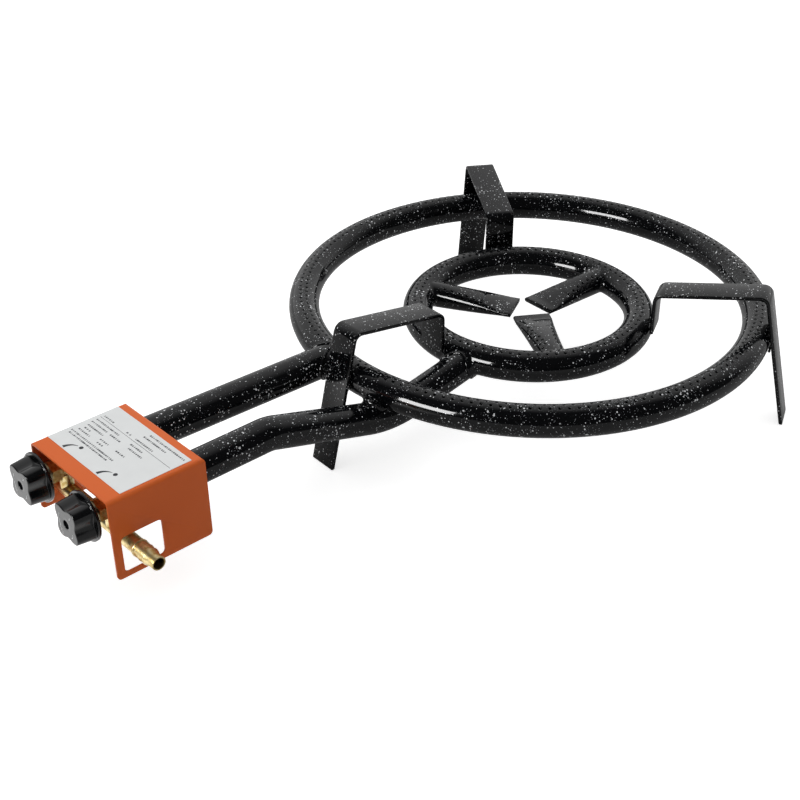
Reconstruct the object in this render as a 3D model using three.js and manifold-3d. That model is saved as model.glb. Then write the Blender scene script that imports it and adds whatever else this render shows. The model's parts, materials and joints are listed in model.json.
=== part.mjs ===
import * as THREE from 'three';
import { mergeVertices } from 'three/addons/utils/BufferGeometryUtils.js';
import Module from 'manifold-3d';

// Paella burner: two drilled gas rings on three pan supports, fed through two long supply
// tubes from a pair of gas taps under a folded sheet cover. Millimetres, +Z up, floor at 0.
// The knobs face -Y and the rings lie behind them, centred on the Z axis while building.

const wasm = await Module();
wasm.setup();

const degrees = Math.PI / 180;

// Clearances and overruns
const fitGap = 0.3;
const cutOverrun = 2;

// Burner rings and the tube that they and the supply tubes are made of
const tubeDiameter = 25;
const tubeWall = 1.5;
const outerRingDiameter = 400;
const outerRingHeight = 70;
const innerRingDiameter = 210;
const innerRingHeight = 59;
const feedHoleDiameter = 16;
const ringSides = 12;
const boreSides = 8;
const outerRingSegments = 48;
const innerRingSegments = 36;

// Gas ports along the tops of the rings and stubs, in turn on one side of the crest and the other
const portDiameter = 2.6;
const portPitch = 16.3;
const portLean = 11 * degrees;
const portStartShare = 0.25;
const portSides = 4;

// Stub tubes inside the inner ring, pressed flat at their inner ends
const stubDiameter = 21.3;
const stubWall = 1.5;
const stubLipHeight = 3.6;
const stubLipRadius = 11.5;
const stubLipLength = 8;
const stubFeedDiameter = 14;
const stubStations = 5;
const stubSides = 16;
const stubPortMargin = 9;

// Pan supports, bent from flat bar
const barWidth = 25;
const barThickness = 3;
const barBendRadius = 5;
const supportHeight = 112;
const supportInnerHeight = 98.4;
const supportSplay = 13 * degrees;
const supportLegEnd = 62.5;

// Supply tubes
const tubeSpacing = 58;
const tubeOffset = -7.5;
const mouthReach = 390;
const mouthHeight = 75.5;
const crankReach = 291;
const crankBendRadius = 40;
const feedDrop = 3;
const feedRise = 10 * degrees;
const bendSteps = 4;
const airSlotLength = 9;
const airSlotWidth = 6;
const airSlotSetback = 12;

// Threaded bush that closes each tube mouth
const bushFlangeThickness = 1.5;
const bushLength = 10;
const bushClearance = 0.5;

// Injectors
const injectorCollarRadius = 4.6;
const injectorCollarLength = 11.6;
const injectorShankRadius = 3.3;
const injectorShankLength = 8;
const injectorTipRadius = 1.8;
const injectorTipLength = 2.5;
const injectorBoreRadius = 1.4;
const jetRadius = 0.4;

// Gas taps
const spindleRise = 3;
const tapBodyRadius = 6.8;
const tapBodyLength = 22;
const tapOutletRadius = 5;
const tapOutletLength = 7;
const tapInletSetback = 5.5;
const tapBossRadius = 5.2;
const tapRearWall = 5.5;
const gasPassageRadius = 1.6;
const plugFrontRadius = 5;
const plugRearRadius = 3.9;
const plugHeadRadius = 4.2;
const plugHeadLength = 4.3;
const plugClearance = 0.2;
const plugRearRoom = 1.5;
const plugSides = 20;
const bonnetAcrossFlats = 15;
const bonnetLength = 7.2;
const bonnetWall = 2.2;
const spindleRadius = 3;
const spindleFlat = 2.2;
const spindleClearance = 0.15;
const spindleInPlug = 4;
const socketDepth = 6.2;

// Control knobs
const knobGap = 5.3;
const knobDepth = 15.2;
const knobFlangeRadius = 17.75;
const knobFlangeThickness = 2.2;
const knobGripRadius = 13.2;
const knobLobe = 2.3;
const knobLobeCount = 4;
const knobLobeTurn = 47 * degrees;
const knobDraft = 1.2;
const knobEdge = 0.7;
const knobFaceWall = 2.4;
const knobHubRadius = 5.4;
const knobWall = 1.6;
const knobHoleRadius = 3.2;
const knobSides = 28;
const pushTravel = 2;

// Gas rail with its end plug and hose nozzle
const railDrop = 15.5;
const railRadius = 5.5;
const railBoreRadius = 3.5;
const railPastTap = 12.5;
const railEndClearance = 0.6;
const plugCapThickness = 2;
const plugSpigotLength = 5;
const nozzleShankRadius = 5.8;
const nozzleShankLength = 13;
const nozzleCollarRadius = 6.5;
const nozzleCollarLength = 3;
const nozzleBarbRadius = 6.2;
const nozzleBarbStep = 0.2;
const nozzleBarbCount = 3;
const nozzleBarbLength = 5;
const nozzleTipRadius = 5.4;
const nozzleTipEdge = 0.5;
const nozzleTipLength = 9;
const nozzleSpigotLength = 6;
const nozzleBoreRadius = 4.1;
const nozzlePassageRadius = 2.4;
const nozzleSides = 16;

// Folded sheet cover, whose right panel leans outwards
const sheet = 1.5;
const sheetBendRadius = 2;
const coverWidth = 94.5;
const coverOffset = -1.25;
const coverLength = 75.3;
const coverRise = 24.1;
const coverKnobClearance = 0.4;
const rightPanelDepth = 61.5;
const rightPanelLean = 1.6 * degrees;
const leftPanelDepth = 51.9;
const panelCornerRadius = 3;
const windowSetback = 6;
const windowLength = 31.5;
const windowHeight = 28;
const windowRise = 3.6;
const windowCornerRadius = 3.5;
const tubeNotchClearance = 1;

// Bracket across the tubes, and the two screws that hold the cover to it
const bracketThickness = 3;
const bracketTopMargin = 2.5;
const bracketPastTube = 4.5;
const screwSpacing = 18;
const screwRadius = 2;
const screwClearance = 0.25;
const screwHeadRadius = 3.8;
const screwHeadThickness = 2.6;

// Rating label on the cover
const labelThickness = 0.3;
const labelGlue = 0.1;
const labelLength = 55.6;
const labelFrontMargin = 11.8;
const labelSideMargin = 0.1;

// Radii and places that follow from the sizes above
const tubeRadius = tubeDiameter / 2;
const boreRadius = tubeRadius - tubeWall;
const outerRingRadius = outerRingDiameter / 2 - tubeRadius;
const innerRingRadius = innerRingDiameter / 2 - tubeRadius;
const outerTubeX = tubeOffset - tubeSpacing / 2;
const innerTubeX = tubeOffset + tubeSpacing / 2;
// The supports and stubs are turned so that the front support stands midway between the tubes
const turn = Math.asin(tubeOffset / outerRingRadius);
const railHeight = mouthHeight - railDrop;
const bushFront = -mouthReach - fitGap - bushFlangeThickness;
const injectorFront = bushFront - fitGap - injectorCollarLength;
const bodyRear = injectorFront - fitGap;
const bodyFront = bodyRear - tapBodyLength;
const railY = bodyFront + tapInletSetback;
const bonnetRear = bodyFront - fitGap;
const bonnetFront = bonnetRear - bonnetLength;
const knobBack = bonnetFront - knobGap;
const knobFace = knobBack - knobDepth;
const coverFront = knobBack + pushTravel + coverKnobClearance;
const coverBack = coverFront + coverLength;
const coverTop = mouthHeight + coverRise;
const coverLeft = coverOffset - coverWidth / 2;
const coverRight = coverOffset + coverWidth / 2;
const coverBend = sheetBendRadius + sheet;

// Bases that lay a flat outline in the plane it belongs to: across the width from the
// front, along the sides, and radially outwards at the front
const acrossX = new THREE.Matrix4().makeBasis(
  new THREE.Vector3(1, 0, 0),
  new THREE.Vector3(0, 0, 1),
  new THREE.Vector3(0, -1, 0),
);
const alongY = new THREE.Matrix4().makeBasis(
  new THREE.Vector3(0, 1, 0),
  new THREE.Vector3(0, 0, 1),
  new THREE.Vector3(1, 0, 0),
);
const outwards = new THREE.Matrix4().makeBasis(
  new THREE.Vector3(0, -1, 0),
  new THREE.Vector3(0, 0, 1),
  new THREE.Vector3(-1, 0, 0),
);

// Closed solid from a closed geometry
function solid(geometry) {
  const bare = new THREE.BufferGeometry();
  bare.setAttribute('position', geometry.getAttribute('position'));
  bare.setIndex(geometry.getIndex());
  const merged = mergeVertices(bare);
  const corners = merged.getIndex().array;
  const triangles = [];
  for (let i = 0; i < corners.length; i += 3) {
    const [a, b, c] = corners.slice(i, i + 3);
    if (a !== b && b !== c && c !== a) triangles.push(a, b, c);
  }
  return new wasm.Manifold(new wasm.Mesh({
    numProp: 3,
    vertProperties: Float32Array.from(merged.getAttribute('position').array),
    triVerts: Uint32Array.from(triangles),
  }));
}

// Geometry of a solid, as it is drawn and exported
function surface(body) {
  const mesh = body.getMesh();
  const geometry = new THREE.BufferGeometry();
  const places = [];
  for (let i = 0; i < mesh.vertProperties.length; i += mesh.numProp) {
    places.push(...mesh.vertProperties.slice(i, i + 3));
  }
  geometry.setAttribute('position', new THREE.Float32BufferAttribute(places, 3));
  geometry.setIndex(Array.from(mesh.triVerts));
  geometry.computeVertexNormals();
  return geometry;
}

// First solid less all the others
function cut(body, ...tools) {
  return tools.reduce((left, tool) => left.subtract(tool), body);
}

// Solids joined into one
function join(...bodies) {
  return bodies.reduce((whole, body) => whole.add(body));
}

// Closed outline through corners given as [x, y, radius], each rounded by its radius if it has one
function outline(corners) {
  const shape = new THREE.Shape();
  corners.forEach(([x, y, radius = 0], i) => {
    const corner = new THREE.Vector2(x, y);
    const before = new THREE.Vector2(...corners.at(i - 1)).sub(corner).normalize();
    const after = new THREE.Vector2(...corners[(i + 1) % corners.length]).sub(corner).normalize();
    const half = Math.acos(THREE.MathUtils.clamp(before.dot(after), -1, 1)) / 2;
    const start = corner.clone().addScaledVector(before, radius / Math.tan(half));
    if (i === 0) shape.moveTo(start.x, start.y);
    else shape.lineTo(start.x, start.y);
    if (radius > 0) {
      const end = corner.clone().addScaledVector(after, radius / Math.tan(half));
      const inward = before.clone().add(after).normalize();
      const centre = corner.clone().addScaledVector(inward, radius / Math.sin(half));
      const from = start.sub(centre).angle();
      const to = end.sub(centre).angle();
      shape.absarc(centre.x, centre.y, radius, from, to, before.cross(after) > 0);
    }
  });
  shape.closePath();
  return shape;
}

// Prism of an outline between two levels of the plane that a basis lays it in
function prism(shape, basis, low, high, arcSteps = 4) {
  const geometry = new THREE.ExtrudeGeometry(shape, {
    depth: high - low,
    bevelEnabled: false,
    curveSegments: arcSteps,
  });
  geometry.translate(0, 0, low);
  return solid(geometry).transform(basis.elements);
}

// Turned solid about the Y axis from [radius, y] points, from back to front
function turned(profile, sides) {
  const points = profile.map(([radius, y]) => new THREE.Vector2(radius, y));
  return solid(new THREE.LatheGeometry(points, sides));
}

// Straight round rod between two points
function rod(from, to, radius, sides) {
  const along = to.clone().sub(from);
  const middle = from.clone().lerp(to, 0.5);
  const geometry = new THREE.CylinderGeometry(radius, radius, along.length(), sides);
  const up = new THREE.Vector3(0, 1, 0);
  const tilt = new THREE.Quaternion().setFromUnitVectors(up, along.normalize());
  const stance = new THREE.Matrix4().makeRotationFromQuaternion(tilt).setPosition(middle);
  return solid(geometry).transform(stance.elements);
}

// Rod along Y, at a place in x and z
function rodAlongY(x, z, low, high, radius, sides) {
  return rod(new THREE.Vector3(x, low, z), new THREE.Vector3(x, high, z), radius, sides);
}

// Solid skin over rings of points that follow one another towards the front
function loft(rings) {
  const count = rings[0].length;
  const last = (rings.length - 1) * count;
  const index = [];
  for (let k = 0; k < rings.length - 1; k += 1) {
    for (let i = 0; i < count; i += 1) {
      const a = k * count + i;
      const b = k * count + ((i + 1) % count);
      index.push(a, b, b + count, a, b + count, a + count);
    }
  }
  for (let i = 1; i < count - 1; i += 1) {
    index.push(0, i + 1, i, last, last + i, last + i + 1);
  }
  const geometry = new THREE.BufferGeometry();
  const places = rings.flat().flatMap((point) => [point.x, point.y, point.z]);
  geometry.setAttribute('position', new THREE.Float32BufferAttribute(places, 3));
  geometry.setIndex(index);
  return solid(geometry);
}

// Route of a bent tube: straight runs with an arc at each corner
class TubeRoute extends THREE.Curve {
  constructor(corners, radius) {
    super();
    this.stations = [corners[0].clone()];
    for (let i = 1; i < corners.length - 1; i += 1) {
      const back = corners[i - 1].clone().sub(corners[i]).normalize();
      const ahead = corners[i + 1].clone().sub(corners[i]).normalize();
      const half = back.angleTo(ahead) / 2;
      const inward = back.clone().add(ahead).normalize();
      const centre = corners[i].clone().addScaledVector(inward, radius / Math.sin(half));
      const start = corners[i].clone().addScaledVector(back, radius / Math.tan(half)).sub(centre);
      const axis = back.clone().cross(ahead).normalize();
      for (let k = 0; k <= bendSteps; k += 1) {
        const sweep = (2 * half - Math.PI) * k / bendSteps;
        this.stations.push(start.clone().applyAxisAngle(axis, sweep).add(centre));
      }
    }
    this.stations.push(corners.at(-1).clone());
  }

  get steps() {
    return this.stations.length - 1;
  }

  getPointAt(share) {
    return this.stations[Math.round(share * this.steps)].clone();
  }

  getTangentAt(share) {
    const i = Math.round(share * this.steps);
    const before = this.stations[Math.max(i - 1, 0)];
    const here = this.stations[i];
    const after = this.stations[Math.min(i + 1, this.steps)];
    const arriving = here.clone().sub(before).normalize();
    const leaving = after.clone().sub(here).normalize();
    return arriving.add(leaving).normalize();
  }
}

// Tube or bore swept along a route
function swept(corners, radius, sides) {
  const section = new THREE.Shape();
  for (let i = 0; i < sides; i += 1) {
    const angle = 2 * Math.PI * i / sides;
    const place = new THREE.Vector2(radius, 0).rotateAround(new THREE.Vector2(), angle);
    if (i === 0) section.moveTo(place.x, place.y);
    else section.lineTo(place.x, place.y);
  }
  const route = new TubeRoute(corners, crankBendRadius);
  return solid(new THREE.ExtrudeGeometry(section, { extrudePath: route, steps: route.steps }));
}

// Ring of tube lying level at a height, with a facet edge at each support and stub
function torus(ringRadius, height, radius, sides, segments) {
  const geometry = new THREE.TorusGeometry(ringRadius, radius, sides, segments);
  geometry.rotateZ(turn);
  geometry.translate(0, 0, height);
  return solid(geometry);
}

// Place on a ring's axis where a line along Y at x meets its front half
function ringFront(ringRadius, x) {
  return -Math.sqrt(ringRadius ** 2 - x ** 2);
}

// Point where two lines in one plane meet
function meet(from, direction, otherFrom, otherDirection) {
  const gap = otherFrom.clone().sub(from);
  const distance = gap.cross(otherDirection) / direction.cross(otherDirection);
  return from.clone().addScaledVector(direction, distance);
}

// Corners of the straight supply tube to the outer ring
function outerRoute() {
  return [
    new THREE.Vector3(outerTubeX, -mouthReach, mouthHeight),
    new THREE.Vector3(outerTubeX, ringFront(outerRingRadius, outerTubeX), outerRingHeight),
  ];
}

// Corners of the cranked supply tube, which ducks under the outer ring until it touches it
// and then climbs to the inner ring
function innerRoute() {
  const bend = new THREE.Vector2(-crankReach, mouthHeight);
  const ring = new THREE.Vector2(ringFront(outerRingRadius, innerTubeX), outerRingHeight);
  const end = new THREE.Vector2(ringFront(innerRingRadius, innerTubeX), innerRingHeight - feedDrop);
  const sight = ring.clone().sub(bend);
  const fall = sight.angle() - Math.asin((tubeDiameter + fitGap) / sight.length());
  const down = new THREE.Vector2(Math.cos(fall), Math.sin(fall));
  const climb = new THREE.Vector2(Math.cos(feedRise), Math.sin(feedRise));
  const low = meet(bend, down, end, climb);
  const corners = [new THREE.Vector2(-mouthReach, mouthHeight), bend, low, end];
  return corners.map(({ x: y, y: z }) => new THREE.Vector3(innerTubeX, y, z));
}

// Drill for a gas port in the top of a tube that runs along Y at x and height, leaning to one
// side of the crest by turns
function portDrill(x, y, height, radius, count) {
  const lean = count % 2 === 0 ? portLean : -portLean;
  const upwards = new THREE.Vector3(Math.sin(lean), 0, Math.cos(lean));
  const axis = new THREE.Vector3(x, y, height);
  const top = axis.clone().addScaledVector(upwards, radius + cutOverrun);
  return rod(axis, top, portDiameter / 2, portSides);
}

// Drills for the ports round a ring: an even number of them, about a pitch apart
function ringPorts(ringRadius, height) {
  const count = 2 * Math.round(Math.PI * ringRadius / portPitch);
  return Array.from({ length: count }, (_, i) => {
    const angle = turn / degrees + 360 * (i + portStartShare) / count;
    return portDrill(ringRadius, 0, height, tubeRadius, i).rotate([0, 0, angle]);
  });
}

// Burner ring: a drilled hollow ring with a hole for each tube that feeds it or that it feeds
function burnerRing(ringRadius, height, segments, feeds) {
  const tube = torus(ringRadius, height, tubeRadius, ringSides, segments);
  const bore = torus(ringRadius, height, boreRadius, boreSides, segments);
  return cut(tube, bore, ...feeds, ...ringPorts(ringRadius, height));
}

// Hole that a supply tube blows through, from inside the tube to the middle of the ring
function feedHole(route) {
  const end = route.at(-1);
  const back = route.at(-2).clone().sub(end).normalize();
  const start = end.clone().addScaledVector(back, tubeDiameter);
  return rod(start, end, feedHoleDiameter / 2, ringSides);
}

// Hole in the inner ring behind each stub
function stubHole(angle) {
  const outside = new THREE.Vector3(0, stubLipRadius + tubeRadius - innerRingRadius, innerRingHeight);
  const inside = new THREE.Vector3(0, -innerRingRadius, innerRingHeight);
  const upright = new THREE.Vector3(0, 0, 1);
  outside.applyAxisAngle(upright, angle);
  inside.applyAxisAngle(upright, angle);
  return rod(outside, inside, stubFeedDiameter / 2, ringSides);
}

// Supply tube: bored, cut square at its mouth, fish-mouthed against its ring and slotted for
// air behind the mouth
function supplyTube(route, ringRadius, ringHeight, segments) {
  const mouth = route[0];
  const inward = route[1].clone().sub(mouth).normalize();
  const outward = route.at(-2).clone().sub(route.at(-1)).normalize();
  const skinRoute = [mouth.clone().addScaledVector(inward, -cutOverrun), ...route.slice(1)];
  const boreRoute = [mouth.clone().addScaledVector(inward, -cutOverrun * 2), ...route.slice(1, -1)];
  boreRoute.push(route.at(-1).clone().addScaledVector(outward, tubeWall));
  const ring = torus(ringRadius, ringHeight, tubeRadius + fitGap, ringSides, segments);
  const slotStart = mouth.y + airSlotSetback;
  const slot = outline([
    [slotStart, mouth.z - airSlotWidth / 2],
    [slotStart + airSlotLength, mouth.z - airSlotWidth / 2],
    [slotStart + airSlotLength, mouth.z + airSlotWidth / 2],
    [slotStart, mouth.z + airSlotWidth / 2],
  ]);
  const reach = tubeRadius + cutOverrun;
  return cut(
    swept(skinRoute, tubeRadius, ringSides),
    swept(boreRoute, boreRadius, ringSides),
    rodAlongY(mouth.x, mouth.z, mouth.y - cutOverrun * 2, mouth.y, tubeDiameter, ringSides),
    ring,
    prism(slot, alongY, mouth.x - reach, mouth.x + reach),
  );
}

// Height and width of a stub at a distance from the middle of the rings: behind its pressed lip
// it swells to the round tube, and its girth stays the same
function stubSection(distance, inset) {
  const crease = stubLipRadius + stubLipLength;
  const share = THREE.MathUtils.clamp((distance - crease) / (innerRingRadius - crease), 0, 1);
  const open = 1 - (1 - share) ** 2;
  const height = stubLipHeight + (stubDiameter - stubLipHeight) * open;
  const width = height + Math.PI * (stubDiameter - height) / 2;
  return { height: height - 2 * inset, width: width - 2 * inset };
}

// Ring of points round a stub's section: two half circles joined by flats
function stubRing(distance, { height, width }) {
  const flat = (width - height) / 2;
  return Array.from({ length: stubSides }, (_, i) => {
    const angle = 2 * Math.PI * (i + 0.5) / stubSides;
    const x = Math.sign(Math.cos(angle)) * flat + Math.cos(angle) * height / 2;
    return new THREE.Vector3(x, -distance, innerRingHeight + Math.sin(angle) * height / 2);
  });
}

// Stub skin from its crease to a distance from the middle of the rings, led by its lip or not
function stubSkin(end, inset, lip) {
  const crease = stubLipRadius + stubLipLength;
  const rings = lip ? [stubRing(stubLipRadius, stubSection(stubLipRadius, inset))] : [];
  for (let i = 0; i <= stubStations; i += 1) {
    const distance = crease + (end - crease) * i / stubStations;
    rings.push(stubRing(distance, stubSection(distance, inset)));
  }
  return loft(rings);
}

// Drills for the ports along a stub, between its crease and the ring
function stubPorts() {
  const first = stubLipRadius + stubLipLength + stubPortMargin;
  const last = innerRingRadius - tubeRadius - stubPortMargin;
  const count = Math.round((last - first) / portPitch);
  return Array.from({ length: count + 1 }, (_, i) => (
    portDrill(0, -first - (last - first) * i / count, innerRingHeight, stubDiameter / 2, i)
  ));
}

// Stub tube, pointing at the front, hollow as far as its pressed lip
function stubTube() {
  const ring = new THREE.TorusGeometry(
    innerRingRadius, tubeRadius + fitGap, ringSides, innerRingSegments,
  );
  ring.translate(0, 0, innerRingHeight);
  return cut(
    stubSkin(innerRingRadius, 0, true),
    stubSkin(innerRingRadius + cutOverrun, stubWall, false),
    solid(ring),
    ...stubPorts(),
  );
}

// Pan support at the front: a bar bent down on both sides of the outer ring. Its outer leg
// leans on the ring and stands on the floor, and its inner leg rests against the inner ring.
function panSupport() {
  const lean = Math.tan(supportSplay);
  const thick = barThickness / Math.cos(supportSplay);
  const touch = (tubeRadius + fitGap) / Math.cos(supportSplay);
  const legAt = (height) => outerRingRadius + touch + thick + (outerRingHeight - height) * lean;
  const rise = tubeRadius + fitGap;
  const reach = Math.sqrt(rise ** 2 - (supportLegEnd - innerRingHeight) ** 2);
  const leg = innerRingRadius + reach;
  const outerCorner = legAt(supportHeight);
  const slope = (supportHeight - supportInnerHeight) / (outerCorner - leg);
  const drop = barThickness * Math.hypot(1, slope);
  const under = (distance) => supportInnerHeight - drop + (distance - leg) * slope;
  const innerUnder = leg + barThickness;
  const outerUnder = (legAt(supportHeight) - thick + lean * (supportHeight - under(leg) + leg * slope))
    / (1 + lean * slope);
  const outside = barBendRadius + barThickness;
  const shape = outline([
    [legAt(0), 0],
    [outerCorner, supportHeight, outside],
    [leg, supportInnerHeight, outside],
    [leg, supportLegEnd],
    [innerUnder, supportLegEnd],
    [innerUnder, under(innerUnder), barBendRadius],
    [outerUnder, under(outerUnder), barBendRadius],
    [legAt(0) - thick, 0],
  ]);
  return prism(shape, outwards, -barWidth / 2, barWidth / 2);
}

// Side outline of the cover down to a level, rounded at the back as the back fold is
function sideOutline(low) {
  return outline([
    [coverFront, low, panelCornerRadius],
    [coverBack, low, panelCornerRadius],
    [coverBack, coverTop, coverBend],
    [coverFront, coverTop],
  ]);
}

// Outline of the right panel, with its window for the hose nozzle
function rightOutline() {
  const low = coverTop - rightPanelDepth;
  const shape = sideOutline(low);
  const front = coverFront + windowSetback;
  shape.holes.push(outline([
    [front, low + windowRise, windowCornerRadius],
    [front + windowLength, low + windowRise, windowCornerRadius],
    [front + windowLength, low + windowRise + windowHeight, windowCornerRadius],
    [front, low + windowRise + windowHeight, windowCornerRadius],
  ]));
  return shape;
}

// Cover: one sheet folded down at both sides and at the back, cut out round the supply tubes
function cover() {
  const rightLow = coverTop - rightPanelDepth - cutOverrun;
  const leftLow = coverTop - leftPanelDepth - cutOverrun;
  const rightFoot = coverRight + (coverTop - rightLow) * Math.tan(rightPanelLean);
  const rightSheet = sheet / Math.cos(rightPanelLean);
  const saddle = outline([
    [coverLeft, leftLow],
    [coverLeft + sheet, leftLow],
    [coverLeft + sheet, coverTop - sheet, sheetBendRadius],
    [coverRight - rightSheet, coverTop - sheet, sheetBendRadius],
    [rightFoot - rightSheet, rightLow],
    [rightFoot, rightLow],
    [coverRight, coverTop, coverBend],
    [coverLeft, coverTop, coverBend],
  ]);
  const backFold = outline([
    [coverBack - coverBend - cutOverrun, coverTop - sheet],
    [coverBack - sheet, coverTop - sheet, sheetBendRadius],
    [coverBack - sheet, mouthHeight],
    [coverBack, mouthHeight],
    [coverBack, coverTop, coverBend],
    [coverBack - coverBend - cutOverrun, coverTop],
  ]);
  const backStrip = outline([
    [coverBack - coverBend, coverTop - coverBend],
    [coverBack + cutOverrun, coverTop - coverBend],
    [coverBack + cutOverrun, coverTop + cutOverrun],
    [coverBack - coverBend, coverTop + cutOverrun],
  ]);
  const sides = join(
    prism(sideOutline(coverTop - leftPanelDepth), alongY, coverLeft - cutOverrun, coverOffset),
    prism(rightOutline(), alongY, coverOffset, rightFoot + cutOverrun),
  );
  const [left, right] = coverFlats();
  const folded = prism(saddle, acrossX, -coverBack, -coverFront).intersect(sides);
  const open = cut(folded, prism(backStrip, alongY, left, right));
  const notches = [outerTubeX, innerTubeX].map((x) => rodAlongY(
    x,
    mouthHeight,
    bushFront - tubeNotchClearance,
    coverBack + cutOverrun,
    tubeRadius + tubeNotchClearance,
    ringSides * 2,
  ));
  return cut(
    join(open, prism(backFold, alongY, left, right)),
    ...notches,
    ...screwPlaces().map(screwHole),
  );
}

// Left and right ends of the flat top of the cover, between its side bends
function coverFlats() {
  return [coverLeft + coverBend, coverRight - coverBend];
}

// Places of the two cover screws across the width
function screwPlaces() {
  return [tubeOffset - screwSpacing / 2, tubeOffset + screwSpacing / 2];
}

// Height of the cover screws, halfway up the bracket between the tubes
function screwHeight() {
  return (mouthHeight + coverTop - sheet) / 2;
}

// Hole for a cover screw through the back fold and the bracket
function screwHole(x) {
  const front = coverBack - sheet - fitGap - bracketThickness - cutOverrun;
  return rodAlongY(
    x, screwHeight(), front, coverBack + cutOverrun, screwRadius + screwClearance, ringSides,
  );
}

// Bracket plate that stands across the two tubes, shaped to sit on them
function coverBracket() {
  const high = coverTop - sheet - bracketTopMargin;
  const shape = outline([
    [outerTubeX - bracketPastTube, mouthHeight],
    [innerTubeX + bracketPastTube, mouthHeight],
    [innerTubeX + bracketPastTube, high],
    [outerTubeX - bracketPastTube, high],
  ]);
  const back = coverBack - sheet - fitGap;
  const front = back - bracketThickness;
  const seats = [outerRoute(), innerRoute()].map(
    (route) => swept(route.slice(0, 2), tubeRadius + fitGap, ringSides),
  );
  return cut(prism(shape, acrossX, -back, -front), ...seats, ...screwPlaces().map(screwHole));
}

// Pan-head screw with its head behind the cover
function coverScrew() {
  const length = sheet + fitGap + bracketThickness + screwHeadThickness / 2;
  return turned([
    [0, -length],
    [screwRadius, -length],
    [screwRadius, fitGap],
    [screwHeadRadius, fitGap],
    [screwHeadRadius, fitGap + screwHeadThickness / 2],
    [screwHeadRadius / 2, fitGap + screwHeadThickness],
    [0, fitGap + screwHeadThickness],
  ], ringSides);
}

// Rating label on the top of the cover
function ratingLabel() {
  const front = coverFront + labelFrontMargin;
  const [left, right] = coverFlats();
  const low = coverTop + labelGlue;
  const shape = outline([
    [left + labelSideMargin, low],
    [right - labelSideMargin, low],
    [right - labelSideMargin, low + labelThickness],
    [left + labelSideMargin, low + labelThickness],
  ]);
  return prism(shape, acrossX, -front - labelLength, -front);
}

// Bush in the mouth of a supply tube, with a hole for the injector
function tubeBush() {
  const bush = turned([
    [0, bushFront],
    [tubeRadius, bushFront],
    [tubeRadius, bushFront + bushFlangeThickness],
    [boreRadius - bushClearance, bushFront + bushFlangeThickness],
    [boreRadius - bushClearance, bushLength - mouthReach],
    [0, bushLength - mouthReach],
  ], ringSides);
  const hole = rodAlongY(
    0, 0, bushFront - cutOverrun, bushLength - mouthReach + cutOverrun,
    injectorShankRadius + fitGap, ringSides,
  );
  return cut(bush, hole);
}

// Injector: a collar at the tap, a shank through the bush and a tip with the jet
function injector() {
  const shoulder = injectorFront + injectorCollarLength;
  const tip = shoulder + injectorShankLength;
  const end = tip + injectorTipLength;
  const body = turned([
    [0, injectorFront],
    [injectorCollarRadius, injectorFront],
    [injectorCollarRadius, shoulder],
    [injectorShankRadius, shoulder],
    [injectorShankRadius, tip],
    [injectorTipRadius, end],
    [0, end],
  ], ringSides);
  return cut(
    body,
    rodAlongY(0, 0, injectorFront - cutOverrun, tip, injectorBoreRadius, boreSides),
    rodAlongY(0, 0, tip - cutOverrun, end + cutOverrun, jetRadius, boreSides),
  );
}

// Cone of the tap plug, or of the seat that it turns in
function plugCone(clearance, room) {
  const rear = bodyRear - tapRearWall;
  return [
    [plugFrontRadius + clearance, bodyFront + (fitGap - clearance)],
    [plugRearRadius + clearance, rear - plugRearRoom],
    [plugRearRadius + clearance, rear - plugRearRoom + room],
  ];
}

// Tap body: a barrel for the plug, an outlet low at the back for the injector, and a boss
// down to the gas rail
function tapBody() {
  const rear = bodyRear - tapRearWall;
  const barrel = rodAlongY(0, spindleRise, bodyFront, bodyRear - tapOutletLength / 2,
    tapBodyRadius, ringSides);
  const outlet = rodAlongY(0, 0, bodyRear - tapOutletLength, bodyRear, tapOutletRadius, ringSides);
  const boss = rod(
    new THREE.Vector3(0, railY, spindleRise),
    new THREE.Vector3(0, railY, -railDrop),
    tapBossRadius,
    ringSides,
  );
  const rail = rod(
    new THREE.Vector3(-tubeRadius, railY, -railDrop),
    new THREE.Vector3(tubeRadius, railY, -railDrop),
    railRadius + fitGap,
    ringSides,
  );
  const cone = plugCone(plugClearance, plugRearRoom);
  const front = cone[0][0];
  const seat = turned([
    [0, bodyFront - cutOverrun],
    [front, bodyFront - cutOverrun],
    ...cone,
    [0, rear],
  ], plugSides).translate([0, 0, spindleRise]);
  const inlet = rod(
    new THREE.Vector3(0, railY, spindleRise),
    new THREE.Vector3(0, railY, -railDrop),
    gasPassageRadius,
    boreSides,
  );
  const passage = rodAlongY(0, 0, rear - cutOverrun, bodyRear + cutOverrun, gasPassageRadius, boreSides);
  return cut(join(barrel, outlet, boss), rail, seat, inlet, passage);
}

// Round section with one flat on top, as the spindle and its sockets have, grown by a clearance
function flattedSection(clearance) {
  const radius = spindleRadius + clearance;
  const flat = spindleFlat + clearance;
  const half = Math.acos(flat / radius);
  const shape = new THREE.Shape();
  shape.absarc(0, 0, radius, Math.PI / 2 + half, Math.PI * 2.5 - half, false);
  shape.closePath();
  return shape;
}

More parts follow.
